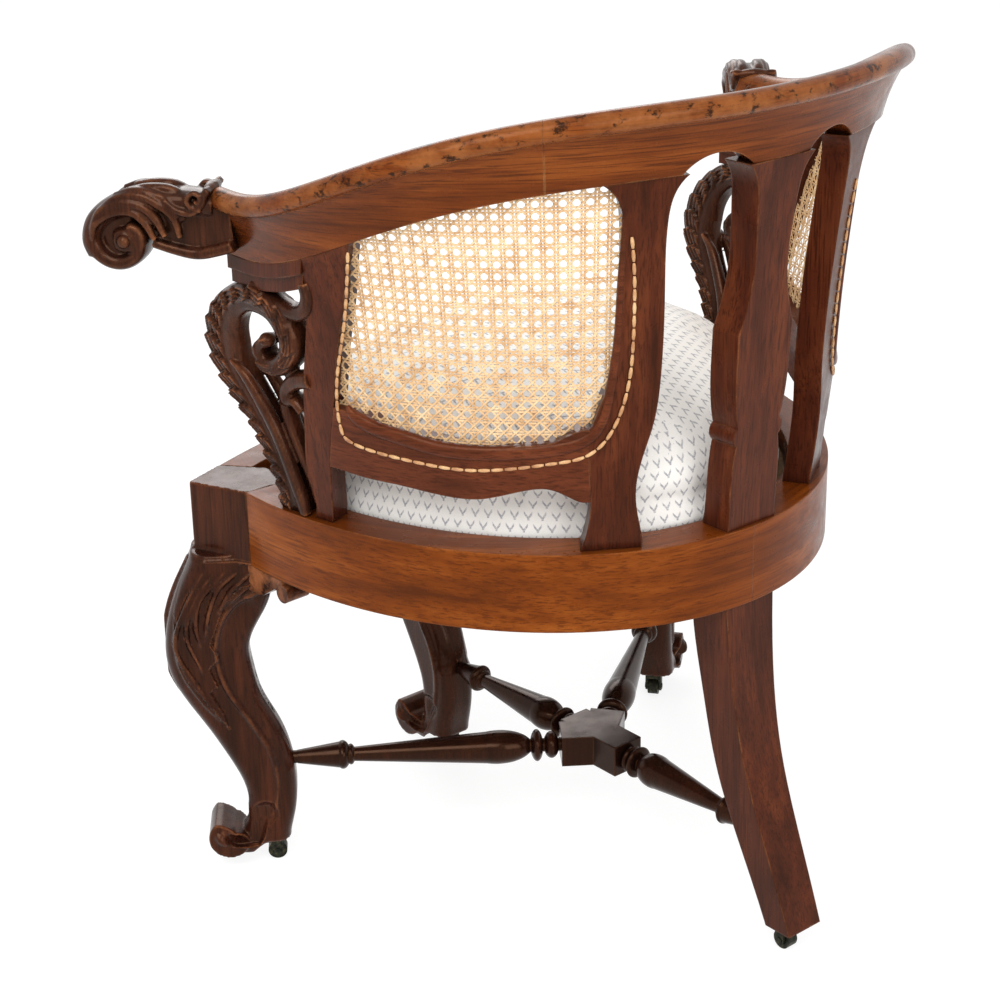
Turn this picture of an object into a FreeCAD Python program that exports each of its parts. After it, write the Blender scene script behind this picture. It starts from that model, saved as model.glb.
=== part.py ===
import FreeCAD, Part
import math
import os
from FreeCAD import Placement, Rotation, Vector

# A round corner-type armchair: +Z up, +X to the sitter's left, +Y to the rear, floor at z = 0.
# Pieces are laid out about the centre of the round seat, then set back so that the origin is mid-depth.
doc = FreeCAD.newDocument("burgermeister_chair")
sheet = doc.addObject("Spreadsheet::Sheet", "sizes")
SIZES = [
    ("rail_top", 390, "top of the seat rail above the floor"),
    ("rail_height", 70, "height of the seat rail"),
    ("rail_thick", 36, "thickness of the seat rail"),
    ("front_rail_thick", 30, "thickness of the two front rails"),
    ("seat_half_width", 275, "centre of the seat to the outside of the rail, sideways"),
    ("seat_half_depth", 330, "centre of the seat to the outside of the rail, rearwards"),
    ("front_depth", 146, "centre of the seat to the outside of the front rails"),
    ("back_inset", 7, "face of the back's boards in from the face of the rail"),
    ("crest_half_width", "=seat_half_width + 41", "half width of the crest at its roll"),
    ("crest_half_depth", "=seat_half_depth - 62", "half depth of the crest's curve"),
    ("crest_setback", 92, "centre of the crest's curve behind the seat's centre"),
    ("crest_top", 767, "overall height, at the rear of the crest"),
    ("arm_drop", 88, "fall of the crest from the rear to the arms"),
    ("crest_depth", 60, "height of the crest board"),
    ("board_thick", 24, "thickness of the back's boards"),
    ("roll_height", 18, "height of the rolled moulding on the crest"),
    ("roll_reach", 7, "roll's reach past the crest's curve"),
    ("post_width", 56, "width of the rear leg at the rail"),
    ("post_depth", 29, "depth of the post above the rail"),
    ("foot_width", 40, "width of the rear foot"),
    ("rear_foot_reach", "=seat_half_depth + 74", "centre of the seat to the back of the rear foot"),
    ("hub_setback", 140, "stretcher hub behind the seat's centre"),
    ("stretcher_height", 106, "axis of the stretchers above the floor"),
    ("hub_half_width", 16.5, "half width of each of the hub's stubs"),
    ("hub_reach", 38, "hub centre to the end of each stub"),
    ("hub_thick", 30, "height of the hub"),
    ("turning_radius", 16, "largest radius of the turned stretchers"),
    ("leg_angle", "=atan((hub_setback + 63) / seat_half_width) / 1 deg",
     "plan angle of the side legs forward of sideways, in degrees"),
    ("leg_pull", "=knee_reach - hub_setback - front_depth - 34",
     "how much nearer the front leg stands to the hub than the side legs"),
    ("leg_half_width", 27, "half width of the cabriole legs at the knee"),
    ("toe_radius", 20, "radius of the scroll toe"),
    ("toe_lift", 13, "scroll toe above the floor"),
    ("toe_reach", "=knee_reach - 47", "hub to the centre of a side leg's scroll toe"),
    ("castor_reach", "=knee_reach - 82", "hub to the swivel of a side leg's castor"),
    ("castor_height", 27, "floor to the underside of each foot"),
    ("wheel_radius", 9, "radius of the castor wheels"),
    ("wheel_width", 11, "width of the castor wheels"),
    ("castor_trail", 8, "swivel axis to wheel axis"),
    ("stem_radius", 3.05, "radius of the castor stems"),
    ("pin_radius", 2, "radius of the castor pins"),
    ("pin_head_radius", 3.2, "radius of the castor pins' riveted heads"),
    ("pin_head_thick", 0.8, "thickness of the castor pins' riveted heads"),
    ("running_gap", 0.05, "radial clearance of the castor's turning fits"),
    ("plate_radius", 11, "radius of the castor's fixed plate"),
    ("plate_thick", 3, "thickness of the castor's fixed plate"),
    ("sleeve_radius", 6, "radius of the castor's sleeve in the foot"),
    ("sleeve_length", 18, "length of the castor's sleeve in the foot"),
    ("cheek_thick", 2.5, "thickness of the castor fork's cheeks"),
    ("side_gap", 0.5, "wheel to fork cheek"),
    ("swivel_gap", 0.3, "fork to fixed plate"),
    ("handhold_angle", 40, "plan angle by which the handholds splay outwards, in degrees"),
    ("handhold_reach", 84.5, "arm end to the centre of the handhold's scroll"),
    ("scroll_radius", 25, "radius of the handhold's scroll"),
    ("scroll_half_width", 22, "half width of the handhold's scroll"),
    ("neck_half_width", 20, "half width of the handhold's neck"),
    ("plinth_height", 25, "arm plinth below the crest board"),
    ("plinth_step", 4, "plinth's lower band in from its upper band"),
    ("bracket_thick", 27, "thickness of the carved brackets"),
    ("cane_thick", 2, "thickness of the woven cane"),
    ("cane_inset", 10, "cane in from the face of the boards"),
    ("cushion_rise", 100, "crown of the cushion above the rail"),
    ("soft_gap", 0.4, "cushion clear of the wood"),
    ("frame_drop", 14, "loose seat frame's top below the rail's top"),
    ("seat_frame_thick", 18, "thickness of the loose seat frame"),
    ("seat_frame_width", 45, "width of the loose seat frame's members"),
    ("frame_gap", 2, "loose seat frame clear of the rails"),
    ("webbing_width", 50, "width of the webbing"),
    ("webbing_thick", 2, "thickness of the webbing"),
    ("block_height", 27, "height of the glue blocks"),
    ("knee_reach", "=sqrt(seat_half_width^2 + (hub_setback + 20)^2) + 81.8",
     "hub to the front of a side leg's knee"),
    ("rear_castor_reach", "=rear_foot_reach - 14", "centre of the seat to the swivel of the rear castor"),
    ("stretcher_long", "=knee_reach - 149", "hub stub to the side legs, along the stretcher"),
    ("stretcher_front_length", "=knee_reach - leg_pull - 149",
     "hub stub to the front leg, along the stretcher"),
    ("stretcher_rear_length", "=seat_half_depth - hub_setback - 33",
     "hub stub to the rear leg, along the stretcher"),
    ("stem_short", 5, "castor stem short of the socket's top"),
    ("crown_length", 19, "length of the castor fork's crown"),
    ("crown_ahead", 6, "castor fork's crown ahead of the swivel axis"),
    ("crown_thick", 4.7, "thickness of the castor fork's crown"),
    ("eye_radius", 5, "radius of the castor fork's lower ends"),
    ("seat_setback", "=(rear_foot_reach + hub_setback - knee_reach + leg_pull) / 2",
     "seat's centre ahead of mid-depth"),
]
for row, (alias, number, meaning) in enumerate(SIZES, start=1):
    sheet.set("A%d" % row, alias)
    sheet.setAlias("B%d" % row, alias)
    sheet.set("C%d" % row, meaning)
for row, (alias, number, meaning) in enumerate(SIZES, start=1):
    sheet.set("B%d" % row, str(number))
doc.recompute()
size = {alias: float(sheet.get(alias)) for alias, number, meaning in SIZES}

# Shape of the back: how far round the crest the arms end, and how the boards lean from rail to crest.
ARM_END_TURN = 106.5
CREST_JOINT_TURN = 40.0
DROP_TURN = 100.0
DROP_POWER = 1.8
SEAT_LAG = 12.6
LEAN_SHARE = 0.65
LEAN_POWER = 1.0
FLARE_POWER = 6.0
CUT_MARGIN = 20.0

# The crest's rolled edge: how far in its neck, crown and inner shoulder lie, and how the inside falls away
NECK_IN = 2.0
CROWN_IN = 4.0
SHOULDER_IN = 15.0
SHOULDER_FALL = 5.0
INNER_FALL = 24.0
COVE_DEPTH = 2.0

rail_top = size["rail_top"]
rail_bottom = rail_top - size["rail_height"]
hub = Vector(0, size["hub_setback"], 0)
SEAT_PLACE = Placement(Vector(0, -size["seat_setback"], 0), Rotation())
nodes = []


def line(start, end):
    return Part.makeLine(start, end)


def arc(start, middle, end):
    return Part.Arc(start, middle, end).toShape()


def spline(points):
    curve = Part.BSplineCurve()
    curve.interpolate(points)
    return curve.toShape()


def closed_spline(points):
    """A closed curve with evenly spaced parameters, so that outlines of one kind loft cleanly."""
    curve = Part.BSplineCurve()
    places = [float(place) for place in range(len(points) + 1)]
    curve.interpolate(points, PeriodicFlag=True, Parameters=places)
    return Part.Wire([curve.toShape()])


def polygon(points):
    return Part.makePolygon(list(points) + [points[0]])


def prism(wire, direction):
    return Part.Face(wire).extrude(direction)


def loft(wires, degree=5):
    return Part.makeLoft(wires, True, False, False, degree)


def node(label, shape):
    """A sub-part from a shape laid out about the seat's centre."""
    piece = doc.addObject("Part::Feature", label)
    piece.Label = label
    piece.Shape = shape
    piece.Placement = SEAT_PLACE.multiply(shape.Placement)
    nodes.append(piece)
    return piece


def mirrored(label, source):
    piece = doc.addObject("Part::Mirroring", label)
    piece.Label = label
    piece.Source = source
    piece.Normal = Vector(1, 0, 0)
    nodes.append(piece)
    return piece


def pair(name, shape):
    mirrored(name + "_right", node(name + "_left", shape))


def crest_height(turn):
    share = min(abs(turn) / DROP_TURN, 1.0)
    return size["crest_top"] - size["arm_drop"] * math.sin(math.pi / 2 * share ** DROP_POWER) ** 2


def seat_curve(turn, half_width, half_depth):
    angle = math.radians(abs(turn) - SEAT_LAG * (turn / 90) ** 2)
    return Vector(math.copysign(half_width * math.sin(angle), turn), half_depth * math.cos(angle), 0)


def crest_curve(turn):
    angle = math.radians(min(abs(turn), 90))
    straight = size["crest_half_depth"] * math.radians(max(abs(turn) - 90, 0))
    across = math.copysign(size["crest_half_width"] * math.sin(angle), turn)
    return Vector(across, size["crest_setback"] + size["crest_half_depth"] * math.cos(angle) - straight, 0)


def board_foot(turn):
    return seat_curve(turn, size["seat_half_width"] - size["back_inset"],
                      size["seat_half_depth"] - size["back_inset"])


def outward(turn):
    return (crest_curve(turn) - board_foot(turn)).normalize()


def back_point(turn, height, depth):
    """A point of the back: turn degrees round from the rear, depth in from the outer face."""
    foot = board_foot(turn)
    rise = (height - rail_top) / (crest_height(turn) - size["roll_height"] / 2 - rail_top)
    rise = max(rise, 0.0)
    lean = LEAN_SHARE * rise ** LEAN_POWER + (1 - LEAN_SHARE) * rise ** FLARE_POWER
    point = foot + (crest_curve(turn) - foot) * lean - outward(turn) * depth
    point.z = height
    return point


def crest_bottom(turn):
    return crest_height(turn) - size["crest_depth"]


def steps(start, end, count):
    return [start + (end - start) * index / count for index in range(count + 1)]


def crest_section(turn):
    """The crest board's section: a coved outer face under a rolled edge, and a plain inner face."""
    out = outward(turn)
    top = crest_curve(turn)
    top.z = crest_height(turn)
    foot_outer = back_point(turn, crest_bottom(turn), 0)
    foot_inner = back_point(turn, crest_bottom(turn), size["board_thick"])
    neck = top - out * NECK_IN - Vector(0, 0, size["roll_height"])
    bulge = top + out * size["roll_reach"] - Vector(0, 0, size["roll_height"] / 2)
    crown = top - out * CROWN_IN
    shoulder = top - out * SHOULDER_IN - Vector(0, 0, SHOULDER_FALL)
    turning = (crown + shoulder) * 0.5 + Vector(0, 0, SHOULDER_FALL / 4)
    inner = top - out * (size["board_thick"] + 1) - Vector(0, 0, INNER_FALL)
    cove = (foot_outer + neck) * 0.5 - out * COVE_DEPTH
    return Part.Wire([line(foot_inner, foot_outer), spline([foot_outer, cove, neck]), arc(neck, bulge, crown),
                      arc(crown, turning, shoulder), line(shoulder, inner), line(inner, foot_inner)])


def crest_cutter_section(turn):
    """The space above the crest board's underside, wider than the board."""
    out = outward(turn) * CUT_MARGIN
    inner = back_point(turn, crest_bottom(turn), size["board_thick"]) - out
    outer = back_point(turn, crest_bottom(turn), 0) + out
    lift = Vector(0, 0, size["crest_depth"])
    return polygon([inner, outer, outer + lift, inner + lift])


def stile_section(height, rear_turn, front_turn, margin):
    deep = size["board_thick"] + margin
    return polygon([back_point(rear_turn, height, -margin), back_point(front_turn, height, -margin),
                    back_point(front_turn, height, deep), back_point(rear_turn, height, deep)])


def stile(stations, middle_turn, margin=0.0):
    """An upright board: stations give share of the height, rear edge and front edge."""
    full = crest_bottom(middle_turn) - rail_top
    return loft([stile_section(rail_top + full * share, rear_turn, front_turn, margin)
                 for share, rear_turn, front_turn in stations])


def panel_section(turn, low, high, outer, inner):
    return polygon([back_point(turn, low, outer), back_point(turn, high, outer),
                    back_point(turn, high, inner), back_point(turn, low, inner)])


def smooth(points, place):
    """Height of an outline at a place, eased between its few points."""
    for (left, low), (right, high) in zip(points, points[1:]):
        if place <= right:
            share = (place - left) / (right - left)
            return low + (high - low) * (1 - math.cos(math.pi * share)) / 2
    return points[-1][1]


def rounded(low, high, half_width, height, corner):
    """A level rounded rectangle, low to high along X."""
    near, far = low + corner, high - corner
    side = half_width - corner
    bulge = corner * (1 - math.sqrt(0.5))

    def at(x, y):
        return Vector(x, y, height)

    return Part.Wire([
        line(at(near, -half_width), at(far, -half_width)),
        arc(at(far, -half_width), at(high - bulge, -half_width + bulge), at(high, -side)),
        line(at(high, -side), at(high, side)),
        arc(at(high, side), at(high - bulge, half_width - bulge), at(far, half_width)),
        line(at(far, half_width), at(near, half_width)),
        arc(at(near, half_width), at(low + bulge, half_width - bulge), at(low, side)),
        line(at(low, side), at(low, -side)),
        arc(at(low, -side), at(low + bulge, -half_width + bulge), at(near, -half_width))])


def cylinder(radius, length, base, axis):
    return Part.makeCylinder(radius, length, base, axis)


def box(low, high):
    return Part.makeBox(high.x - low.x, high.y - low.y, high.z - low.z, low)


def right_of(shape):
    return shape.mirror(Vector(0, 0, 0), Vector(1, 0, 0))


def largest(shape):
    return max(shape.Solids, key=lambda solid: solid.Volume)


# The crest: a back piece and two arms, scarfed together, and the space above its underside
crest_back = loft([crest_section(turn) for turn in steps(-CREST_JOINT_TURN, CREST_JOINT_TURN, 12)])
crest_arm = loft([crest_section(turn) for turn in steps(CREST_JOINT_TURN, ARM_END_TURN, 12)])
crest_space = loft([crest_cutter_section(turn) for turn in steps(-50, ARM_END_TURN + 4, 24)])

# The stiles: share of the height from rail to crest, then the turns of the rear and front edges
REAR_STILE = [(0.0, 23.0, 34.5), (0.06, 23.4, 33.2), (0.15, 24.4, 32.6), (0.25, 23.5, 32.9),
              (0.34, 21.7, 32.6), (0.48, 20.5, 29.3), (0.70, 20.4, 27.6), (0.88, 20.5, 27.7),
              (0.95, 19.8, 28.6), (1.0, 17.7, 31.5), (1.06, 12.5, 36.0)]
FRONT_STILE = [(0.0, 86.0, 91.2), (0.15, 85.2, 91.4), (0.30, 84.0, 91.0), (0.45, 82.0, 89.8),
               (0.56, 80.6, 88.6), (0.68, 79.0, 86.8), (0.80, 77.0, 85.4), (0.90, 75.5, 84.6),
               (1.0, 74.2, 84.0), (1.12, 72.5, 83.5)]
REAR_STILE_TURN = 26.0
FRONT_STILE_TURN = 82.0
STILE_MARGIN = 6.0
rear_stile = stile(REAR_STILE, REAR_STILE_TURN).cut(crest_space)
front_stile = stile(FRONT_STILE, FRONT_STILE_TURN).cut(crest_space)
stile_space = [stile(REAR_STILE, REAR_STILE_TURN, STILE_MARGIN),
               stile(FRONT_STILE, FRONT_STILE_TURN, STILE_MARGIN)]

# The panel rail under the cane: turn and rise above the seat rail along its two edges
PANEL_LOW = [(28.0, 43.0), (33.0, 45.0), (41.0, 58.0), (55.0, 46.0), (72.0, 52.0), (88.0, 56.0)]
PANEL_HIGH = [(28.0, 112.0), (33.0, 109.0), (42.0, 97.0), (54.0, 91.0), (67.0, 97.0), (80.0, 112.0),
              (88.0, 116.0)]
PANEL_TURNS = steps(29.0, 86.0, 15)


def panel_rail_band(outer, inner):
    return loft([panel_section(turn, rail_top + smooth(PANEL_LOW, turn), rail_top + smooth(PANEL_HIGH, turn),
                               outer, inner) for turn in PANEL_TURNS])


panel_rail = panel_rail_band(0, size["board_thick"])
for space in stile_space:
    panel_rail = panel_rail.cut(space)
panel_rail_space = panel_rail_band(-STILE_MARGIN, size["board_thick"] + STILE_MARGIN)
CANE_TURNS = steps(23.0, 88.0, 17)
CANE_OVERLAP = 12.0
cane_panel = loft([panel_section(turn, rail_top + smooth(PANEL_LOW, turn) + CANE_OVERLAP,
                                 crest_bottom(turn) + CANE_OVERLAP,
                                 size["cane_inset"], size["cane_inset"] + size["cane_thick"])
                   for turn in CANE_TURNS])
for space in stile_space + [panel_rail_space, crest_space]:
    cane_panel = cane_panel.cut(space)
cane_panel = largest(cane_panel)

# The rear leg, which runs on as the post of the back: side profile crossed with its outline from the rear
LEG_BACK = [(0.0, 0), (0.19, -27), (0.40, -55), (0.70, -74), (1.0, -78)]
foot_back = size["rear_foot_reach"]
sole = size["castor_height"]
leg_rise = rail_top - sole
post_top = crest_bottom(0) + CUT_MARGIN
POST_INSET = 4.0
post_back = size["seat_half_depth"] - POST_INSET
post_proud = post_back - board_foot(0).y
post_rise = post_top - rail_top
foot_sweep = (post_back - foot_back) / LEG_BACK[-1][1]
back_edge = [Vector(0, foot_back + reach * foot_sweep, sole + leg_rise * share) for share, reach in LEG_BACK]
POST_RISES = (0.30, 0.62, 0.85, 1.0)


def post_point(rise, depth):
    """A point of the post, proud of the back's face at the rail and flush with the crest."""
    point = back_point(0, rail_top + post_rise * rise, 0)
    return Vector(0, point.y + post_proud * (1 - rise) - depth, point.z)


back_edge += [post_point(rise, 0) for rise in POST_RISES]
LEG_FRONT = [(0.0, 28), (0.15, 30), (0.36, 36), (0.58, 40), (0.80, 43)]
POST_STEP = 4.0
front_edge = [Vector(0, foot_back + smooth(LEG_BACK, share) * foot_sweep - depth, sole + leg_rise * share)
              for share, depth in LEG_FRONT]
front_edge += [Vector(0, post_back - size["post_depth"], rail_top + POST_STEP)]
front_edge += [post_point(rise, size["post_depth"]) for rise in POST_RISES]
leg_side = Part.Wire([spline(back_edge), line(back_edge[-1], front_edge[-1]),
                      spline(front_edge[::-1]), line(front_edge[0], back_edge[0])])
SLAB_HALF = 50.0
leg_slab = prism(leg_side, Vector(2 * SLAB_HALF, 0, 0))
leg_slab.translate(Vector(-SLAB_HALF, 0, 0))
half_post = size["post_width"] / 2
half_foot = size["foot_width"] / 2
SHIN_SPREAD = 3.0
SHIN_RISE = 0.4
# Half widths of the post as shares of the leg's, at shares of the height from rail to crest
VASE_LOW = [(0.0, 1.0), (0.11, 1.0), (0.19, 0.97), (0.24, 0.88)]
VASE_BEAD = [(0.24, 0.88), (0.265, 1.02), (0.29, 0.88)]
VASE_MIDDLE = [(0.29, 0.88), (0.36, 1.03), (0.44, 1.09), (0.55, 1.12)]
VASE_HIGH = [(0.55, 1.12), (0.62, 0.86), (0.68, 0.72), (0.75, 0.68), (0.84, 0.74), (0.90, 0.82), (0.95, 0.93),
             (1.0, 1.30), (1.04, 1.9)]
vase_rise = crest_bottom(0) - rail_top


def vase_points(side, outline):
    return [Vector(side * half_post * share, 0, rail_top + vase_rise * rise) for rise, share in outline]


def post_edge(side):
    foot = Vector(side * half_foot, 0, sole)
    shin = Vector(side * (half_foot + SHIN_SPREAD), 0, sole + leg_rise * SHIN_RISE)
    knee = Vector(side * half_post, 0, rail_bottom)
    return [spline([foot, shin, knee]), line(knee, vase_points(side, VASE_LOW)[0]),
            spline(vase_points(side, VASE_LOW)), arc(*vase_points(side, VASE_BEAD)),
            spline(vase_points(side, VASE_MIDDLE)), spline(vase_points(side, VASE_HIGH))]


left_edges, right_edges = post_edge(1), post_edge(-1)
flare = half_post * VASE_HIGH[-1][1]
flare_top = rail_top + vase_rise * VASE_HIGH[-1][0]
leg_outline = Part.Wire(left_edges + [line(Vector(flare, 0, flare_top), Vector(-flare, 0, flare_top))]
                        + right_edges[::-1] + [line(Vector(-half_foot, 0, sole), Vector(half_foot, 0, sole))])
leg_front_view = prism(leg_outline, Vector(0, foot_back + CUT_MARGIN, 0))
rear_leg = leg_slab.common(leg_front_view).cut(crest_space)
rear_leg = rear_leg.cut(cylinder(size["sleeve_radius"], size["sleeve_length"],
                                 Vector(0, size["rear_castor_reach"], sole), Vector(0, 0, 1)))

# The arched tops of the two gaps beside the post
ARCH_TURN = 12.3
ARCH_RADIUS = 44.0
ARCH_RISE = 14.0
ARCH_REACH = 60.0
arch_out = outward(ARCH_TURN)
arch_place = back_point(ARCH_TURN, crest_bottom(ARCH_TURN) + ARCH_RISE - ARCH_RADIUS, 0)
arch = cylinder(ARCH_RADIUS, 2 * ARCH_REACH, arch_place - arch_out * ARCH_REACH, arch_out)
crest_back = crest_back.cut(arch).cut(right_of(arch))

# The seat rails: quarters of an elliptical ring from the rear leg to the side legs' blocks
RAIL_JOINT_ANGLE = math.radians(93.5)


def ellipse_face(half_width, half_depth, height):
    curve = Part.Ellipse(Vector(0, half_depth, height), Vector(half_width, 0, height), Vector(0, 0, height))
    return Part.Face(Part.Wire([curve.toShape()]))


def ellipse_prism(half_width, half_depth, low, high):
    return ellipse_face(half_width, half_depth, low).extrude(Vector(0, 0, high - low))


inner_half_width = size["seat_half_width"] - size["rail_thick"]
inner_half_depth = size["seat_half_depth"] - size["rail_thick"]
ring = ellipse_prism(size["seat_half_width"], size["seat_half_depth"], rail_bottom, rail_top)
ring = ring.cut(ellipse_prism(inner_half_width, inner_half_depth, rail_bottom - 1, rail_top + 1))
joint_outer = Vector(size["seat_half_width"] * math.sin(RAIL_JOINT_ANGLE),
                     size["seat_half_depth"] * math.cos(RAIL_JOINT_ANGLE), rail_bottom)
joint_inner = Vector(inner_half_width * math.sin(RAIL_JOINT_ANGLE),
                     inner_half_depth * math.cos(RAIL_JOINT_ANGLE), rail_bottom)
far_side = 2 * size["seat_half_width"]
across_joint = joint_outer - joint_inner
joint_far = joint_outer + across_joint * (size["seat_half_width"] / size["rail_thick"])
joint_near = joint_inner - across_joint * (inner_half_width / size["rail_thick"])
corner_wedge = polygon([Vector(0, joint_near.y, rail_bottom), joint_near, joint_far,
                        Vector(far_side, 2 * size["seat_half_depth"], rail_bottom),
                        Vector(0, 2 * size["seat_half_depth"], rail_bottom)])
seat_rail = ring.common(prism(corner_wedge, Vector(0, 0, size["rail_height"]))).cut(rear_leg)

# The cabriole legs: level sections by share of the height, inner and outer face back from the knee, and width
CABRIOLE = [(1.02, 102, 29, 0.96), (0.93, 101, 17, 1.0), (0.856, 96, 8, 1.02), (0.78, 83, 2, 1.0),
            (0.715, 76, 0, 0.96), (0.64, 78, 3, 0.92), (0.556, 84, 15, 0.87), (0.456, 99, 34, 0.81),
            (0.356, 109, 51, 0.76), (0.256, 112, 64, 0.74), (0.18, 110, 64, 0.76), (0.125, 106, 54, 0.78)]
SOLE_SECTION = (104, 48, 0.78)
SECTION_CORNER = 0.32
TOE_SHARE = 0.85
SWIVEL_ROOM = 9.0


def cabriole(block):
    """A leg about the hub, along +X, with its scroll toe, its castor's bore and its block at the rail."""
    wide = size["leg_half_width"]
    knee = size["knee_reach"]
    stations = [(rail_bottom * rise, inner, outer, share) for rise, inner, outer, share in CABRIOLE]
    levels = [rounded(knee - inner, knee - outer, wide * share, height, wide * share * 2 * SECTION_CORNER)
              for height, inner, outer, share in stations + [(sole, *SOLE_SECTION)]]
    toe_half = wide * TOE_SHARE
    toe_centre = Vector(size["toe_reach"], -toe_half, size["toe_radius"] + size["toe_lift"])
    toe = cylinder(size["toe_radius"], 2 * toe_half, toe_centre, Vector(0, 1, 0))
    bore = cylinder(size["sleeve_radius"], size["sleeve_length"],
                    Vector(size["castor_reach"], 0, sole), Vector(0, 0, 1))
    swivel_room = cylinder(size["plate_radius"] + SWIVEL_ROOM, sole, Vector(size["castor_reach"], 0, 0),
                           Vector(0, 0, 1))
    return loft(levels).fuse(toe).cut(bore).cut(swivel_room).fuse(block)


def about_hub(shape, angle, pull):
    shape = shape.copy()
    shape.translate(Vector(-pull, 0, 0))
    shape.rotate(Vector(0, 0, 0), Vector(0, 0, 1), angle)
    shape.translate(hub)
    return shape


def from_hub(shape, angle, pull):
    shape = shape.copy()
    shape.translate(hub * -1)
    shape.rotate(Vector(0, 0, 0), Vector(0, 0, 1), -angle)
    shape.translate(Vector(pull, 0, 0))
    return shape


SIDE_ANGLE = -size["leg_angle"]
FRONT_ANGLE = -90.0
upright = Vector(0, 0, size["rail_height"])
SIDE_CORNER = Vector(23.5, -56, 0)
SIDE_FRONT = Vector(-19, -72, 0)
SIDE_INNER = Vector(-12, -38, 0)
side_block = prism(polygon([joint_outer, joint_outer + SIDE_CORNER, joint_outer + SIDE_FRONT,
                            joint_inner + SIDE_INNER, joint_inner]), upright)
side_leg = about_hub(cabriole(from_hub(side_block, SIDE_ANGLE, 0)), SIDE_ANGLE, 0)
FRONT_BLOCK_HALF = 27.0
FRONT_BLOCK_PROUD = 8.0
front_face = -size["front_depth"] - FRONT_BLOCK_PROUD
front_block = box(Vector(-FRONT_BLOCK_HALF, front_face, rail_bottom),
                  Vector(FRONT_BLOCK_HALF, size["front_rail_thick"] - size["front_depth"], rail_top))
front_leg = cabriole(from_hub(front_block, FRONT_ANGLE, size["leg_pull"]))
front_leg = about_hub(front_leg, FRONT_ANGLE, size["leg_pull"])

# The front rails: bowed from the side legs' blocks to the front leg's
rail_in = Vector(0, size["front_rail_thick"], 0)
BOW_PLACE = 0.545
BOW_SHARE = 0.85
BOW_END = Vector(-8, -66, 0)
bow = [Vector(0, -size["front_depth"], rail_bottom),
       Vector(size["seat_half_width"] * BOW_PLACE, -size["front_depth"] * BOW_SHARE, rail_bottom),
       joint_outer + BOW_END]
inner_bow = [point + rail_in for point in bow[::-1]]
front_rail_wire = Part.Wire([spline(bow), line(bow[-1], inner_bow[0]), spline(inner_bow),
                             line(inner_bow[-1], bow[0])])
front_rail = prism(front_rail_wire, upright).cut(side_leg).cut(front_leg)
front_rail = largest(front_rail)

# The arms: a stepped plinth and a carved bracket under each crest arm, and a scrolled handhold on its end
PLINTH_TURNS = steps(76.0, ARM_END_TURN, 8)
PLINTH_BAND = 0.5
PLINTH_OVERLAP = 8.0


def plinth_section(turn, inset, high, low):
    """A band under the crest board, from high to low below the board's underside."""
    under = crest_bottom(turn)
    outer = back_point(turn, under, inset)
    inner = back_point(turn, under, size["board_thick"] - inset)
    top, bottom = Vector(0, 0, -high), Vector(0, 0, -low)
    return polygon([outer + top, inner + top, inner + bottom, outer + bottom])


band = size["plinth_height"] * PLINTH_BAND
plinth = loft([plinth_section(turn, 0, -PLINTH_OVERLAP, band) for turn in PLINTH_TURNS])
plinth = plinth.fuse(loft([plinth_section(turn, size["plinth_step"], 0, size["plinth_height"])
                           for turn in PLINTH_TURNS]))
for space in (crest_space, crest_arm, stile_space[1]):
    plinth = plinth.cut(space)
plinth = largest(plinth)

# The bracket's two edges: place from the seat's centre, and share of the height from rail to plinth
BRACKET_EDGE = [(2, 1.0), (-24, 0.91), (-38, 0.80), (-41, 0.71), (-36, 0.60), (-28, 0.49), (-14, 0.38),
                (0, 0.27), (13, 0.18), (20, 0.08), (24, 0.0)]
BRACKET_REAR = [(68, 0.0), (68, 0.35), (80, 0.66), (100, 0.95), (112, 1.10)]
BRACKET_HOLES = [(22, 0.755, 15), (84, 0.97, 6), (60, 0.62, 7), (58, 0.40, 8)]
BRACKET_SPLAY = 6.0
BRACKET_HINGE = 75.0
BRACKET_INSET = 1.0
plinth_low = crest_bottom(ARM_END_TURN) - size["plinth_height"]
bracket_rise = plinth_low - rail_top
edge_points = [Vector(0, place, bracket_rise * rise) for place, rise in BRACKET_EDGE]
rear_points = [Vector(0, place, bracket_rise * rise) for place, rise in BRACKET_REAR]
bracket_wire = Part.Wire([spline(edge_points), line(edge_points[-1], rear_points[0]), spline(rear_points),
                          line(rear_points[-1], edge_points[0])])
bracket = prism(bracket_wire, Vector(-size["bracket_thick"], 0, 0))
for place, rise, radius in BRACKET_HOLES:
    through = Vector(-2 * size["bracket_thick"], place, bracket_rise * rise)
    bracket = bracket.cut(cylinder(radius, 4 * size["bracket_thick"], through, Vector(1, 0, 0)))
BRACKET_TURN = 94.0
bracket_foot = board_foot(BRACKET_TURN).x + BRACKET_INSET
plinth_outer = back_point(ARM_END_TURN, crest_bottom(ARM_END_TURN), 0).x
splay = math.tan(math.radians(BRACKET_SPLAY))
shear = FreeCAD.Matrix()
shear.A12 = -splay
shear.A13 = (plinth_outer - BRACKET_INSET - bracket_foot) / bracket_rise
bracket = bracket.transformGeometry(shear)
bracket.translate(Vector(bracket_foot + splay * BRACKET_HINGE, 0, rail_top))
bracket = bracket.cut(stile_space[1]).cut(plinth)
bracket = largest(bracket)

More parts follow.
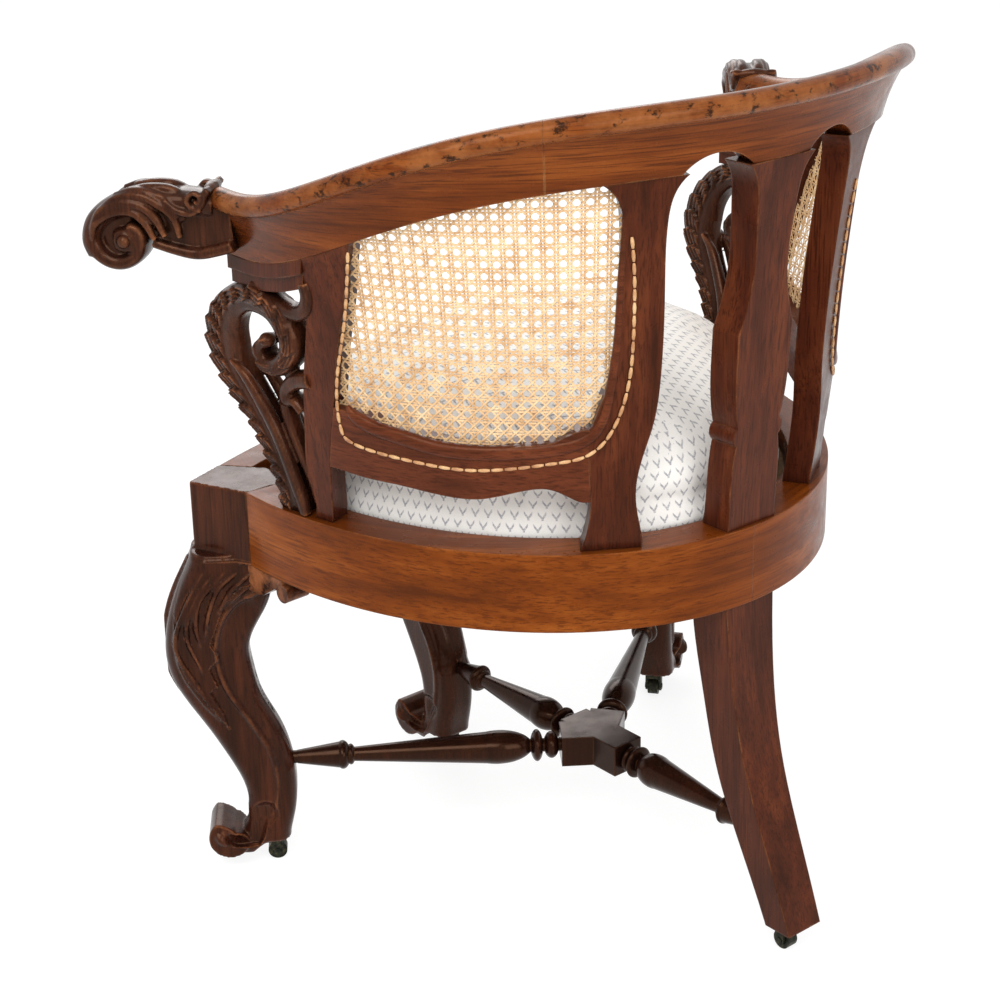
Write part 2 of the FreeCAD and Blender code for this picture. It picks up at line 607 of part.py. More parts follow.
# Handhold outline in its own splayed plane: out from the collar, and height from the arm's top
COLLAR_INSET = Vector(-6, 10, 0)
scroll_out = size["handhold_reach"]
HANDHOLD_OVER = [(-14, -8), (5, -7), (30, -3), (scroll_out - 26, -1), (scroll_out, -5),
                 (scroll_out + 20, -22), (scroll_out + 29, -45), (scroll_out + 22, -64),
                 (scroll_out + 4, -74), (scroll_out - 16, -67), (scroll_out - 23, -52)]
HANDHOLD_UNDER = [(scroll_out - 23, -52), (38, -61), (13, -63), (-14, -60)]
SCROLL_DROP = 49.0
collar = crest_curve(ARM_END_TURN) + COLLAR_INSET
arm_level = crest_height(ARM_END_TURN)


def handhold_edge(outline):
    return spline([Vector(out, 0, height) for out, height in outline])


def at_arm_end(shape):
    shape.rotate(Vector(0, 0, 0), Vector(0, 0, 1), size["handhold_angle"] - 90)
    shape.translate(Vector(collar.x, collar.y, arm_level))
    return shape


collar_edge = handhold_edge([HANDHOLD_UNDER[-1], HANDHOLD_OVER[0]])
neck_wire = Part.Wire([handhold_edge(HANDHOLD_OVER), handhold_edge(HANDHOLD_UNDER), collar_edge])
neck = prism(neck_wire, Vector(0, 2 * size["neck_half_width"], 0))
neck.translate(Vector(0, -size["neck_half_width"], 0))
scroll = cylinder(size["scroll_radius"], 2 * size["scroll_half_width"],
                  Vector(scroll_out, -size["scroll_half_width"], -SCROLL_DROP), Vector(0, 1, 0))
handhold = at_arm_end(neck.fuse(scroll))
arm_space = loft([crest_cutter_section(turn) for turn in steps(CREST_JOINT_TURN, ARM_END_TURN, 12)])
behind_collar = box(Vector(0, collar.y, rail_top),
                    Vector(2 * collar.x, collar.y + scroll_out, size["crest_top"]))
for space in (arm_space, crest_arm, plinth, behind_collar):
    handhold = handhold.cut(space)
handhold = largest(handhold)

# The seat: a loose frame with webbing, and a stuffed cushion with a crown and drawn-in sides
SEAT_POINTS = 32
FRONT_FULLNESS = 2.3


def seat_outline(half_width, rear, front, height):
    """A level closed curve: half an ellipse behind the seat's centre, and a fuller half before it."""
    points = []
    for index in range(SEAT_POINTS):
        angle = 2 * math.pi * index / SEAT_POINTS
        across, along = math.sin(angle), math.cos(angle)
        power = 1.0 if along > 0 else 2 / FRONT_FULLNESS
        deep = rear if along > 0 else front
        points.append(Vector(math.copysign(half_width * abs(across) ** power, across),
                             math.copysign(deep * abs(along) ** power, along), height))
    return closed_spline(points)


seat_clear = max(size["rail_thick"], size["back_inset"] + size["board_thick"])
seat_side = size["seat_half_width"] - seat_clear
frame_side = seat_side - size["frame_gap"]
FRAME_REAR_CLEAR = 8.0
FRAME_FRONT_CLEAR = 22.0
frame_rear = post_back - size["post_depth"] - FRAME_REAR_CLEAR
frame_front = size["front_depth"] - size["front_rail_thick"] - FRAME_FRONT_CLEAR
frame_top = rail_top - size["frame_drop"]
frame_low = frame_top - size["seat_frame_thick"]
frame_up = Vector(0, 0, size["seat_frame_thick"])
member = size["seat_frame_width"]
seat_frame = prism(seat_outline(frame_side, frame_rear, frame_front, frame_low), frame_up)
seat_frame = seat_frame.cut(prism(seat_outline(frame_side - member, frame_rear - member, frame_front - member,
                                               frame_low), frame_up))
# The cushion's levels: share of its height, share of its plan, and how far its front overhangs the rail
CUSHION_LEVELS = [(0.0, 0.965, 0), (0.12, 0.985, 0), (0.25, 0.995, 8), (0.40, 1.0, 12), (0.55, 0.98, 12),
                  (0.70, 0.93, 9), (0.82, 0.84, 6), (0.91, 0.72, 4), (0.97, 0.52, 2), (1.0, 0.30, 0)]
CUSHION_CLEAR = 3.0
cushion_side = seat_side - CUSHION_CLEAR
cushion_rear = min(post_back - size["post_depth"], size["seat_half_depth"] - seat_clear) - CUSHION_CLEAR
cushion_front = size["front_depth"] - size["front_rail_thick"] - 2 * CUSHION_CLEAR
cushion_low = frame_top + size["soft_gap"]
cushion_height = rail_top + size["cushion_rise"] - cushion_low
cushion = loft([seat_outline(cushion_side * share, cushion_rear * share, (cushion_front + overhang) * share,
                             cushion_low + cushion_height * rise)
                for rise, share, overhang in CUSHION_LEVELS], degree=3)

strap = size["webbing_thick"]
half_strap = size["webbing_width"] / 2
STRAP_EDGE = 4.0
STRAP_PLACES = (0.16, 0.40, 0.64)
CROSS_STRAP_PLACE = 0.48
frame_room = prism(seat_outline(frame_side - STRAP_EDGE, frame_rear - STRAP_EDGE, frame_front - STRAP_EDGE,
                                frame_low - 3 * strap), Vector(0, 0, 3 * strap))
straps = []
for place in STRAP_PLACES:
    middle = frame_rear * place
    straps.append(box(Vector(-frame_side, middle - half_strap, frame_low - strap),
                      Vector(frame_side, middle + half_strap, frame_low)).common(frame_room))
for side in (-1, 1):
    middle = side * frame_side * CROSS_STRAP_PLACE
    straps.append(box(Vector(middle - half_strap, -frame_front, frame_low - 2 * strap),
                      Vector(middle + half_strap, frame_rear, frame_low - strap)).common(frame_room))

# Glue blocks in the corners, which also carry the loose seat frame
block_low = frame_low - size["block_height"]
REAR_BLOCK = (70.0, 30.0)
MID_BLOCK = (62.0, 26.0)
HIP_BLOCK = (34.0, 26.0)
HIP_PLACE = Vector(-24, -30, 0)
rear_block = box(Vector(-REAR_BLOCK[0], frame_rear - REAR_BLOCK[1], block_low),
                 Vector(REAR_BLOCK[0], post_back, frame_low))
mid_block = box(Vector(-MID_BLOCK[0], front_face, block_low),
                Vector(MID_BLOCK[0], -frame_front + MID_BLOCK[1], frame_low))
hip_block = box(Vector(-HIP_BLOCK[0], -HIP_BLOCK[1], block_low), Vector(*HIP_BLOCK, frame_low))
hip_block.rotate(Vector(0, 0, 0), Vector(0, 0, 1), SIDE_ANGLE)
hip_block.translate(Vector(joint_inner.x, joint_inner.y, 0) + HIP_PLACE)
wood = [rear_leg, seat_rail, right_of(seat_rail), side_leg, right_of(side_leg), front_leg, front_rail,
        right_of(front_rail)]
blocks = []
for block in (rear_block, mid_block, hip_block, right_of(hip_block)):
    for piece in wood:
        block = block.cut(piece)
    blocks.append(largest(block))

# Small scrolled ears under the rails, beside the knees
EAR_LENGTH = 40.0
EAR_ROOT = -30.0
EAR_DROP = 26.0
EAR_THICK = 24.0
EAR_SCROLL = 8.5
scroll_place = EAR_LENGTH - EAR_SCROLL
half_drop = EAR_DROP / 2
ear_corners = [Vector(EAR_ROOT, 0, 0), Vector(scroll_place, 0, 0), Vector(scroll_place, 0, -half_drop),
               Vector(EAR_LENGTH / 2, 0, -half_drop), Vector(0, 0, -EAR_DROP), Vector(EAR_ROOT, 0, -EAR_DROP)]
ear = prism(polygon(ear_corners), Vector(0, EAR_THICK, 0))
ear = ear.fuse(cylinder(EAR_SCROLL, EAR_THICK, Vector(scroll_place, 0, -half_drop - 1), Vector(0, 1, 0)))
ear.translate(Vector(0, -EAR_THICK / 2, rail_bottom))


def ear_at(place, direction):
    piece = ear.copy()
    piece.rotate(Vector(0, 0, 0), Vector(0, 0, 1), direction)
    piece.translate(Vector(place.x, place.y, 0))
    for leg in (side_leg, front_leg):
        piece = piece.cut(leg)
    return largest(piece)


ears = [ear_at(joint_outer + Vector(-13, 12, 0), 92.0),
        ear_at(bow[-1] + Vector(-10, 12, 0), 197.0),
        ear_at(Vector(FRONT_BLOCK_HALF, front_face + 24, 0), 5.0)]
ears += [right_of(piece) for piece in ears]

pair("crest_arm", crest_arm)
node("crest_rail_back", crest_back)
pair("rear_stile", rear_stile)
pair("front_stile", front_stile)
pair("panel_rail", panel_rail)
pair("cane_panel", cane_panel)
node("rear_leg_post", rear_leg)
pair("seat_rail", seat_rail)
pair("side_leg", side_leg)
node("front_leg", front_leg)
pair("front_rail", front_rail)
pair("arm_plinth", plinth)
pair("carved_bracket", bracket)
pair("handhold", handhold)
node("seat_frame", seat_frame)
node("seat_cushion", cushion)
node("seat_webbing", Part.makeCompound(straps))
node("corner_blocks", Part.makeCompound(blocks))
node("knee_brackets", Part.makeCompound(ears))


def bound(kind, label, formulas, x="0", y="0", z="0", turn=Rotation()):
    """A primitive whose sizes and place are formulas on the sheet."""
    piece = doc.addObject(kind, label)
    piece.Label = label
    piece.Placement = Placement(Vector(), turn)
    place = {"Placement.Base.x": x, "Placement.Base.y": y, "Placement.Base.z": z}
    for name, formula in {**formulas, **place}.items():
        piece.setExpression(name, formula)
    return piece


def fused(label, pieces):
    piece = doc.addObject("Part::MultiFuse", label)
    piece.Label = label
    piece.Shapes = pieces
    return piece


def cut(label, base, tool):
    piece = doc.addObject("Part::Cut", label)
    piece.Label = label
    piece.Base = base
    piece.Tool = tool
    return piece


def placed(piece, x, y, z, turn):
    piece.Placement = Placement(Vector(), turn)
    for name, formula in {"Placement.Base.x": x, "Placement.Base.y": y, "Placement.Base.z": z}.items():
        piece.setExpression(name, formula)


ACROSS = Rotation(Vector(1, 0, 0), -90)
HUB_Y = "sizes.hub_setback - sizes.seat_setback"


def heading(angle):
    return Rotation(Vector(0, 0, 1), angle)


# The stretcher's hub: four stubs, one toward each leg
stubs = []
HEADINGS = {"left": SIDE_ANGLE, "right": 180 - SIDE_ANGLE, "front": FRONT_ANGLE, "rear": 90.0}
STUB = {"Length": "sizes.hub_reach", "Width": "2 * sizes.hub_half_width", "Height": "sizes.hub_thick"}
for name, angle in HEADINGS.items():
    stub = bound("Part::Box", "hub_stub_" + name, STUB)
    sideways = heading(angle).multVec(Vector(0, 1, 0))
    placed(stub, "%.6f * sizes.hub_half_width" % -sideways.x, "%.6f * sizes.hub_half_width" % -sideways.y,
           "0", heading(angle))
    stubs.append(stub)
stretcher_hub = fused("stretcher_hub", stubs)
placed(stretcher_hub, "0", HUB_Y, "sizes.stretcher_height - sizes.hub_thick / 2", Rotation())
nodes.append(stretcher_hub)

# Turnings of a stretcher from the hub outwards: kind, share of its length, then shares of the turning radius
TURNINGS = [("ball", 0.035, 0.03, 0.80), ("ball", 0.09, 0.025, 0.95), ("ball", 0.235, 0.13, 1.0),
            ("cone", 0.25, 0.53, 0.97, 0.42), ("ball", 0.79, 0.018, 0.62), ("ball", 0.82, 0.03, 0.85),
            ("cone", 0.82, 0.17, 0.80, 0.40), ("cone", 0.0, 1.06, 0.40, 0.38)]


def stretcher(label, length, angle, leg):
    """A turned arm of the stretcher, seated against the hub's stub and the leg."""
    pieces = []
    for number, (kind, start, run, *shares) in enumerate(TURNINGS):
        name = "%s_turning_%d" % (label, number)
        out = "%s * %g" % (length, start)
        if kind == "ball":
            ball = {"Radius1": "%s * %g" % (length, run), "Radius2": "sizes.turning_radius * %g" % shares[0],
                    "Radius3": "sizes.turning_radius * %g" % shares[0]}
            pieces.append(bound("Part::Ellipsoid", name, ball, z=out))
        else:
            cone = {"Height": "%s * %g" % (length, run), "Radius1": "sizes.turning_radius * %g" % shares[0],
                    "Radius2": "sizes.turning_radius * %g" % shares[1]}
            pieces.append(bound("Part::Cone", name, cone, z=out))
    turned = fused(label + "_turned", pieces)
    outward_turn = heading(angle).multiply(Rotation(Vector(0, 1, 0), 90))
    direction = heading(angle).multVec(Vector(1, 0, 0))
    placed(turned, "%.6f * sizes.hub_reach" % direction.x, HUB_Y + " + %.6f * sizes.hub_reach" % direction.y,
           "sizes.stretcher_height", outward_turn)
    piece = cut(label, cut(label + "_trimmed", turned, leg), stretcher_hub)
    nodes.append(piece)
    return piece


by_label = {piece.Label: piece for piece in nodes}
left_stretcher = stretcher("stretcher_left", "sizes.stretcher_long", SIDE_ANGLE, by_label["side_leg_left"])
mirrored("stretcher_right", left_stretcher)
stretcher("stretcher_front", "sizes.stretcher_front_length", FRONT_ANGLE, by_label["front_leg"])
stretcher("stretcher_rear", "sizes.stretcher_rear_length", 90.0, by_label["rear_leg_post"])


# The castors: a fixed socket let into the foot, a swivelling fork, a wheel and its pin
def castor(name, x, y, angle):
    low_plate = "sizes.castor_height - sizes.plate_thick"
    fork_top = "sizes.castor_height - sizes.plate_thick - sizes.swivel_gap"
    half_inside = "(sizes.wheel_width / 2 + sizes.side_gap)"
    half_outside = "(sizes.wheel_width / 2 + sizes.side_gap + sizes.cheek_thick)"
    bore_radius = "sizes.stem_radius + sizes.running_gap"
    stem_length = "sizes.plate_thick + sizes.sleeve_length - sizes.stem_short"
    behind = "-sizes.castor_trail"

    def rod(part, radius, height, **where):
        label = "castor_%s_%s" % (part, name)
        return bound("Part::Cylinder", label, {"Radius": radius, "Height": height}, **where)

    def axle_rod(part, radius, height, start):
        return rod(part, radius, height, x=behind, y=start, z="sizes.wheel_radius", turn=ACROSS)

    def block(part, length, width, height, **where):
        label = "castor_%s_%s" % (part, name)
        return bound("Part::Box", label, {"Length": length, "Width": width, "Height": height}, **where)

    plate = rod("plate", "sizes.plate_radius", "sizes.plate_thick", z=low_plate)
    sleeve = rod("sleeve", "sizes.sleeve_radius", "sizes.sleeve_length", z="sizes.castor_height")
    bore = rod("bore", bore_radius, "sizes.plate_thick + sizes.sleeve_length", z=low_plate)
    socket = cut("castor_socket_" + name, fused("castor_cup_" + name, [plate, sleeve]), bore)

    crown = block("crown", "sizes.crown_length", "2 * " + half_outside, "sizes.crown_thick",
                  x="sizes.crown_ahead - sizes.crown_length", y="-" + half_outside,
                  z=fork_top + " - sizes.crown_thick")
    parts = [rod("stem", "sizes.stem_radius", stem_length, z=fork_top), crown]
    for side, start in (("near", half_inside), ("far", "-" + half_outside)):
        parts.append(axle_rod("eye_" + side, "sizes.eye_radius", "sizes.cheek_thick", start))
        parts.append(block("cheek_" + side, "2 * sizes.eye_radius", "sizes.cheek_thick",
                           fork_top + " - sizes.wheel_radius", x=behind + " - sizes.eye_radius", y=start,
                           z="sizes.wheel_radius"))
    axle_hole = axle_rod("axle_hole", "sizes.pin_radius", "2 * " + half_outside, "-" + half_outside)
    fork = cut("castor_fork_" + name, fused("castor_yoke_" + name, parts), axle_hole)

    tread = axle_rod("tread", "sizes.wheel_radius", "sizes.wheel_width", "-sizes.wheel_width / 2")
    wheel_hole = axle_rod("wheel_hole", "sizes.pin_radius + sizes.running_gap", "sizes.wheel_width",
                          "-sizes.wheel_width / 2")
    wheel = cut("castor_wheel_" + name, tread, wheel_hole)

    shaft = axle_rod("shaft", "sizes.pin_radius", "2 * " + half_outside, "-" + half_outside)
    far_head = "-%s - sizes.pin_head_thick" % half_outside
    heads = [axle_rod("head_" + side, "sizes.pin_head_radius", "sizes.pin_head_thick", start)
             for side, start in (("near", half_outside), ("far", far_head))]
    pin = fused("castor_pin_" + name, [shaft] + heads)
    for piece in (socket, fork, wheel, pin):
        placed(piece, x, y, "0", heading(angle))
        nodes.append(piece)


side_x = "sizes.castor_reach * cos(sizes.leg_angle)"
side_y = HUB_Y + " - sizes.castor_reach * sin(sizes.leg_angle)"
front_y = HUB_Y + " - sizes.castor_reach + sizes.leg_pull"
castor("left", side_x, side_y, HEADINGS["left"])
castor("right", "-" + side_x, side_y, HEADINGS["right"])
castor("front", "0", front_y, HEADINGS["front"])
castor("rear", "0", "sizes.rear_castor_reach - sizes.seat_setback", HEADINGS["rear"])

doc.recompute()
for piece in nodes:
    if {"Invalid", "Error"} & set(piece.State):
        raise RuntimeError("%s: %s" % (piece.Label, piece.State))
    if piece.Shape.isNull() or not piece.Shape.isValid():
        raise RuntimeError("%s has no valid shape" % piece.Label)
os.makedirs("parts", exist_ok=True)
for piece in nodes:
    piece.Shape.exportStep("parts/%s.step" % piece.Label)
print(len(nodes), "nodes written")
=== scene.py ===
import math

import bmesh
import bpy
import numpy as np
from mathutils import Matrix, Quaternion, Vector
from mathutils.bvhtree import BVHTree


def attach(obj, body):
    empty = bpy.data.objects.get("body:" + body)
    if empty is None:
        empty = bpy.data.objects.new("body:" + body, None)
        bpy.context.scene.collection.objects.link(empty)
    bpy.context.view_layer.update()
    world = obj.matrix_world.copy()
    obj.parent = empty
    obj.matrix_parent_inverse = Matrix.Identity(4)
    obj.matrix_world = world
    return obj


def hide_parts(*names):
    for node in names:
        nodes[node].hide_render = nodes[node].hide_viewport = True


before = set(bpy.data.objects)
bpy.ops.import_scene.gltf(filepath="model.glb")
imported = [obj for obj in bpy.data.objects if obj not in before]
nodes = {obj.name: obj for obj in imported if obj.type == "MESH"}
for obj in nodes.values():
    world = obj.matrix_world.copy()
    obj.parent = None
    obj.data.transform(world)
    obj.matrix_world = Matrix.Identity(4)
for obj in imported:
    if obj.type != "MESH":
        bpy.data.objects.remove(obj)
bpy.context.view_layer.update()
scene = bpy.context.scene
MM = 0.001
SEAT_SETBACK = 112.0


# Shader helpers

class Shader:
    """A node material in the making: short names for the few nodes that the surfaces share."""

    def __init__(self, name):
        self.material = bpy.data.materials.new(name)
        self.material.use_nodes = True
        self.tree = self.material.node_tree
        self.surface = self.tree.nodes["Principled BSDF"]

    def add(self, kind, **settings):
        node = self.tree.nodes.new("ShaderNode" + kind)
        for name, value in settings.items():
            setattr(node, name, value)
        return node

    def join(self, source, target):
        if isinstance(source, (int, float, tuple, list)):
            target.default_value = source
        else:
            self.tree.links.new(source, target)

    def math(self, operation, *values):
        node = self.add("Math", operation=operation)
        for index, value in enumerate(values):
            self.join(value, node.inputs[index])
        return node.outputs[0]

    def vector(self, operation, *values):
        node = self.add("VectorMath", operation=operation)
        for index, value in enumerate(values):
            self.join(value, node.inputs[index])
        return node.outputs["Value" if operation in ("DOT_PRODUCT", "LENGTH") else "Vector"]

    def split(self, vector):
        node = self.add("SeparateXYZ")
        self.join(vector, node.inputs[0])
        return node.outputs

    def combine(self, x, y, z):
        node = self.add("CombineXYZ")
        for index, value in enumerate((x, y, z)):
            self.join(value, node.inputs[index])
        return node.outputs[0]

    def place(self):
        return self.add("TexCoord").outputs["Object"]

    def noise(self, vector, scale, detail=4.0, roughness=0.55, distortion=0.0):
        node = self.add("TexNoise")
        self.join(vector, node.inputs["Vector"])
        settings = {"Scale": scale, "Detail": detail, "Roughness": roughness, "Distortion": distortion}
        for name, value in settings.items():
            node.inputs[name].default_value = value
        return node.outputs["Fac"]

    def ramp(self, value, *stops):
        node = self.add("ValToRGB")
        self.join(value, node.inputs[0])
        elements = node.color_ramp.elements
        while len(elements) < len(stops):
            elements.new(0.5)
        for element, (position, colour) in zip(elements, stops):
            element.position = position
            element.color = (*colour, 1.0) if isinstance(colour, tuple) else (colour, colour, colour, 1.0)
        return node.outputs[0]

    def mix(self, share, first, second, blend="MIX"):
        node = self.add("Mix", data_type="RGBA", blend_type=blend)
        self.join(share, node.inputs[0])
        for value, socket in ((first, node.inputs[6]), (second, node.inputs[7])):
            self.join((*value, 1.0) if isinstance(value, tuple) else value, socket)
        return node.outputs[2]

    def bump(self, height, strength, distance, normal=None):
        node = self.add("Bump")
        node.inputs["Strength"].default_value = strength
        node.inputs["Distance"].default_value = distance
        self.join(height, node.inputs["Height"])
        if normal is not None:
            self.join(normal, node.inputs["Normal"])
        return node.outputs[0]

    def set(self, **values):
        for name, value in values.items():
            socket = self.surface.inputs[name.replace("_", " ")]
            self.join((*value, 1.0) if isinstance(value, tuple) else value, socket)
        return self.material


# The woods: a red-brown mahogany with an orange figure, painted shade in the hollows and rubbed at the edges
GRAIN_RADIUS = 0.28
BEVEL_RADIUS, HOLLOW_DEPTH = 0.0022, 0.012
# Near black: the painted shade in carved grooves, dark chips on the crest's bead and the darkest tone of the
# dark wood
NEAR_BLACK = (0.006, 0.0025, 0.002)
# The colour of the painted shade laid into hollows
HOLLOW_SHADE = (0.006, 0.003, 0.002)
VARNISH = (1.0, 0.45, 0.2)
HANDLED = (0.24, 0.083, 0.024)
CREST_HALF_WIDTH, CREST_HALF_DEPTH, CREST_BACK = 316.0, 268.0, 92.0
CREST_TOP, ARM_DROP, HALF_ROLL = 767.0, 88.0, 9.0
ARM_TURN, ARM_DROP_POWER = 100.0, 1.8
BEAD_EASE = 0.02


def grain_place(shader, run):
    """Coordinates with the grain along Z: run is z, round (about the seat) or a plan angle in degrees."""
    place = shader.place()
    if run == "z":
        return place
    x, y, z = shader.split(place)
    if run == "round":
        back = shader.math("ADD", y, SEAT_SETBACK * MM)
        turn = shader.math("ARCTAN2", x, back)
        radius = shader.vector("LENGTH", shader.combine(x, back, 0.0))
        return shader.combine(radius, z, shader.math("MULTIPLY", turn, GRAIN_RADIUS))
    angle = math.radians(run)
    along = shader.vector("DOT_PRODUCT", place, (math.cos(angle), math.sin(angle), 0.0))
    across = shader.vector("DOT_PRODUCT", place, (-math.sin(angle), math.cos(angle), 0.0))
    return shader.combine(across, z, along)


def edge_and_hollow(shader):
    """Rounded normals, with how sharply an edge turns there and how deep in a hollow a point lies."""
    flat = shader.add("NewGeometry").outputs["Normal"]
    rounded = flat
    hollow = 1.0
    bevel = shader.add("Bevel", samples=4)
    bevel.inputs["Radius"].default_value = BEVEL_RADIUS
    rounded = bevel.outputs[0]
    shade = shader.add("AmbientOcclusion", samples=4)
    shade.inputs["Distance"].default_value = HOLLOW_DEPTH
    hollow = shade.outputs["AO"]
    facing = shader.vector("DOT_PRODUCT", rounded, flat)
    return rounded, shader.ramp(facing, (0.80, 1.0), (0.985, 0.0)), hollow


def crest_bead(shader):
    """1 on the rolled edge along the top of the crest, which follows the crest's height round the chair."""
    x, y, z = shader.split(shader.place())
    across = shader.math("DIVIDE", x, CREST_HALF_WIDTH * MM)
    behind = shader.math("ADD", y, (SEAT_SETBACK - CREST_BACK) * MM)
    back = shader.math("DIVIDE", behind, CREST_HALF_DEPTH * MM)
    turn = shader.math("ABSOLUTE", shader.math("ARCTAN2", across, back))
    part = shader.math("MINIMUM", shader.math("DIVIDE", turn, math.radians(ARM_TURN)), 1.0)
    part = shader.math("POWER", part, ARM_DROP_POWER)
    swing = shader.math("SINE", shader.math("MULTIPLY", part, math.pi / 2))
    drop = shader.math("MULTIPLY", shader.math("MULTIPLY", swing, swing), ARM_DROP * MM)
    under = shader.math("SUBTRACT", shader.math("ADD", z, drop), (CREST_TOP - 2 * HALF_ROLL) * MM)
    return shader.ramp(shader.math("DIVIDE", under, BEAD_EASE), (0.02, 0.0), (0.12, 1.0))


def wood(name, run, dark, middle, light, gloss=0.3, worn=0.5, wear_colour=(0.36, 0.14, 0.05), hollow_shade_strength=0.6,
         coat=0.05, carved=False, bead=False):
    """A polished wood with figure and pores, painted shade in its hollows and wear at its edges."""
    shader = Shader(name)
    place = grain_place(shader, run)
    wander = shader.math("MULTIPLY", shader.noise(place, 9.0, 2.0), 0.03)
    stretched = shader.vector("MULTIPLY", place, (1.0, 1.0, 0.09))
    waved = shader.vector("ADD", stretched, shader.combine(wander, 0.0, 0.0))
    figure = shader.noise(waved, 34.0, 6.0, 0.62, 0.6)
    streaks = shader.noise(shader.vector("MULTIPLY", place, (1.0, 1.0, 0.02)), 160.0, 3.0, 0.6)
    pores = shader.noise(shader.vector("MULTIPLY", place, (1.0, 1.0, 0.03)), 620.0, 2.0, 0.6)
    clouds = shader.noise(place, 8.0, 3.0, 0.5)
    tone = shader.math("ADD", shader.math("MULTIPLY", figure, 0.5), shader.math("MULTIPLY", clouds, 0.3))
    tone = shader.math("ADD", tone, shader.math("MULTIPLY", streaks, 0.2))
    colour = shader.ramp(tone, (0.36, dark), (0.5, middle), (0.63, light))
    colour = shader.mix(shader.ramp(pores, (0.36, 0.7), (0.5, 0.0)), colour, dark)
    rounded, edge, hollow = edge_and_hollow(shader)
    # Painted shade: the colour darkened where ambient occlusion finds the surface in a hollow
    hollow_shade = shader.math("MULTIPLY", shader.ramp(hollow, (0.25, 1.0), (0.85, 0.0)), hollow_shade_strength)
    colour = shader.mix(hollow_shade, colour, HOLLOW_SHADE)
    rubbed = shader.ramp(shader.noise(place, 38.0, 4.0, 0.65), (0.40, 0.0), (0.62, 1.0))
    wear = shader.math("MULTIPLY", shader.math("MULTIPLY", edge, rubbed), worn)
    colour = shader.mix(wear, colour, wear_colour)
    if carved:
        # Painted shade in the carving's grooves: concave spots, found by pointiness, darkened to near black
        relief = shader.add("NewGeometry").outputs["Pointiness"]
        colour = shader.mix(shader.ramp(relief, (0.42, 0.9), (0.492, 0.0)), colour, NEAR_BLACK)
        crown = shader.math("MULTIPLY", shader.ramp(relief, (0.51, 0.0), (0.57, 1.0)), rubbed)
        colour = shader.mix(shader.math("MULTIPLY", crown, worn), colour, wear_colour)
    if bead:
        rolled = crest_bead(shader)
        handled = shader.ramp(shader.noise(place, 26.0, 5.0, 0.7), (0.40, 0.0), (0.64, 0.8))
        colour = shader.mix(shader.math("MULTIPLY", rolled, handled), colour, HANDLED)
        chips = shader.ramp(shader.noise(place, 95.0, 4.0, 0.7), (0.36, 0.9), (0.44, 0.0))
        colour = shader.mix(shader.math("MULTIPLY", rolled, chips), colour, NEAR_BLACK)
    rough = shader.ramp(shader.noise(place, 60.0, 3.0, 0.6), (0.3, gloss - 0.06), (0.7, gloss + 0.1))
    normal = shader.bump(pores, 0.1, 0.0004, rounded)
    return shader.set(Base_Color=colour, Roughness=rough, Normal=normal, Coat_Weight=coat,
                      Coat_Roughness=0.12, Specular_IOR_Level=0.18, Specular_Tint=VARNISH)


DEEP = (0.020, 0.0045, 0.0025)
MAHOGANY = (0.058, 0.0125, 0.0055)
DARK = (0.014, 0.0045, 0.003)
upright_wood = wood("mahogany_upright", "z", DEEP, MAHOGANY, (0.105, 0.025, 0.0085))
leg_wood = wood("mahogany_leg", "z", (0.008, 0.0026, 0.002), (0.027, 0.007, 0.0038), (0.058, 0.015, 0.0065),
                gloss=0.24, coat=0.1, carved=True, worn=0.8, wear_colour=(0.17, 0.055, 0.021))
round_wood = wood("mahogany_round", "round", (0.062, 0.0125, 0.002), (0.140, 0.030, 0.003),
                  (0.235, 0.061, 0.008))
crest_wood = wood("mahogany_crest", "round", (0.040, 0.009, 0.003), (0.118, 0.026, 0.005),
                  (0.215, 0.056, 0.010), gloss=0.24, worn=0.9, wear_colour=(0.42, 0.19, 0.07), bead=True)
panel_wood = wood("mahogany_panel", "round", (0.030, 0.007, 0.0035), (0.085, 0.020, 0.0085),
                  (0.140, 0.036, 0.014))
dark_wood = wood("mahogany_dark", "z", NEAR_BLACK, DARK, (0.028, 0.008, 0.004), gloss=0.18, worn=0.25,
                 coat=0.06)
carved_wood = wood("mahogany_carved", "z", (0.009, 0.003, 0.0022), (0.030, 0.0085, 0.0045),
                   (0.065, 0.019, 0.008), gloss=0.24, worn=0.95, wear_colour=(0.25, 0.086, 0.033), hollow_shade_strength=0.85,
                   coat=0.1, carved=True)
plain_timber = wood("plain_timber", 0, (0.22, 0.12, 0.05), (0.34, 0.20, 0.09), (0.45, 0.28, 0.14), gloss=0.7,
                    worn=0.0)


def metal():
    shader = Shader("castor_metal")
    patina = shader.noise(shader.place(), 240.0, 5.0, 0.65)
    colour = shader.ramp(patina, (0.35, (0.010, 0.011, 0.008)), (0.55, (0.030, 0.030, 0.019)),
                         (0.75, (0.10, 0.078, 0.036)))
    rough = shader.ramp(patina, (0.3, 0.65), (0.75, 0.32))
    normal = shader.bump(patina, 0.35, 0.0004)
    return shader.set(Base_Color=colour, Roughness=rough, Normal=normal, Metallic=0.85)


def cane_straw(name, shades, glossy=0.35):
    shader = Shader(name)
    place = shader.place()
    mottled = shader.noise(place, 70.0, 4.0, 0.6)
    fibres = shader.noise(place, 900.0, 2.0, 0.5)
    colour = shader.ramp(mottled, (0.3, shades[0]), (0.5, shades[1]), (0.72, shades[2]))
    rough = shader.ramp(mottled, (0.3, glossy + 0.15), (0.7, glossy))
    return shader.set(Base_Color=colour, Roughness=rough, Normal=shader.bump(fibres, 0.2, 0.0002))


STEEP_FACING = 0.74
CLOTH_RADIUS = 0.24
MARK_ROW, MARK_COLUMN, MARK_SHIFT, MARK_TURN = 0.0095, 0.0105, 0.37, 28.0
MARK_COLOUR = (0.33, 0.33, 0.36)
JUTE_THREADS = 2600.0


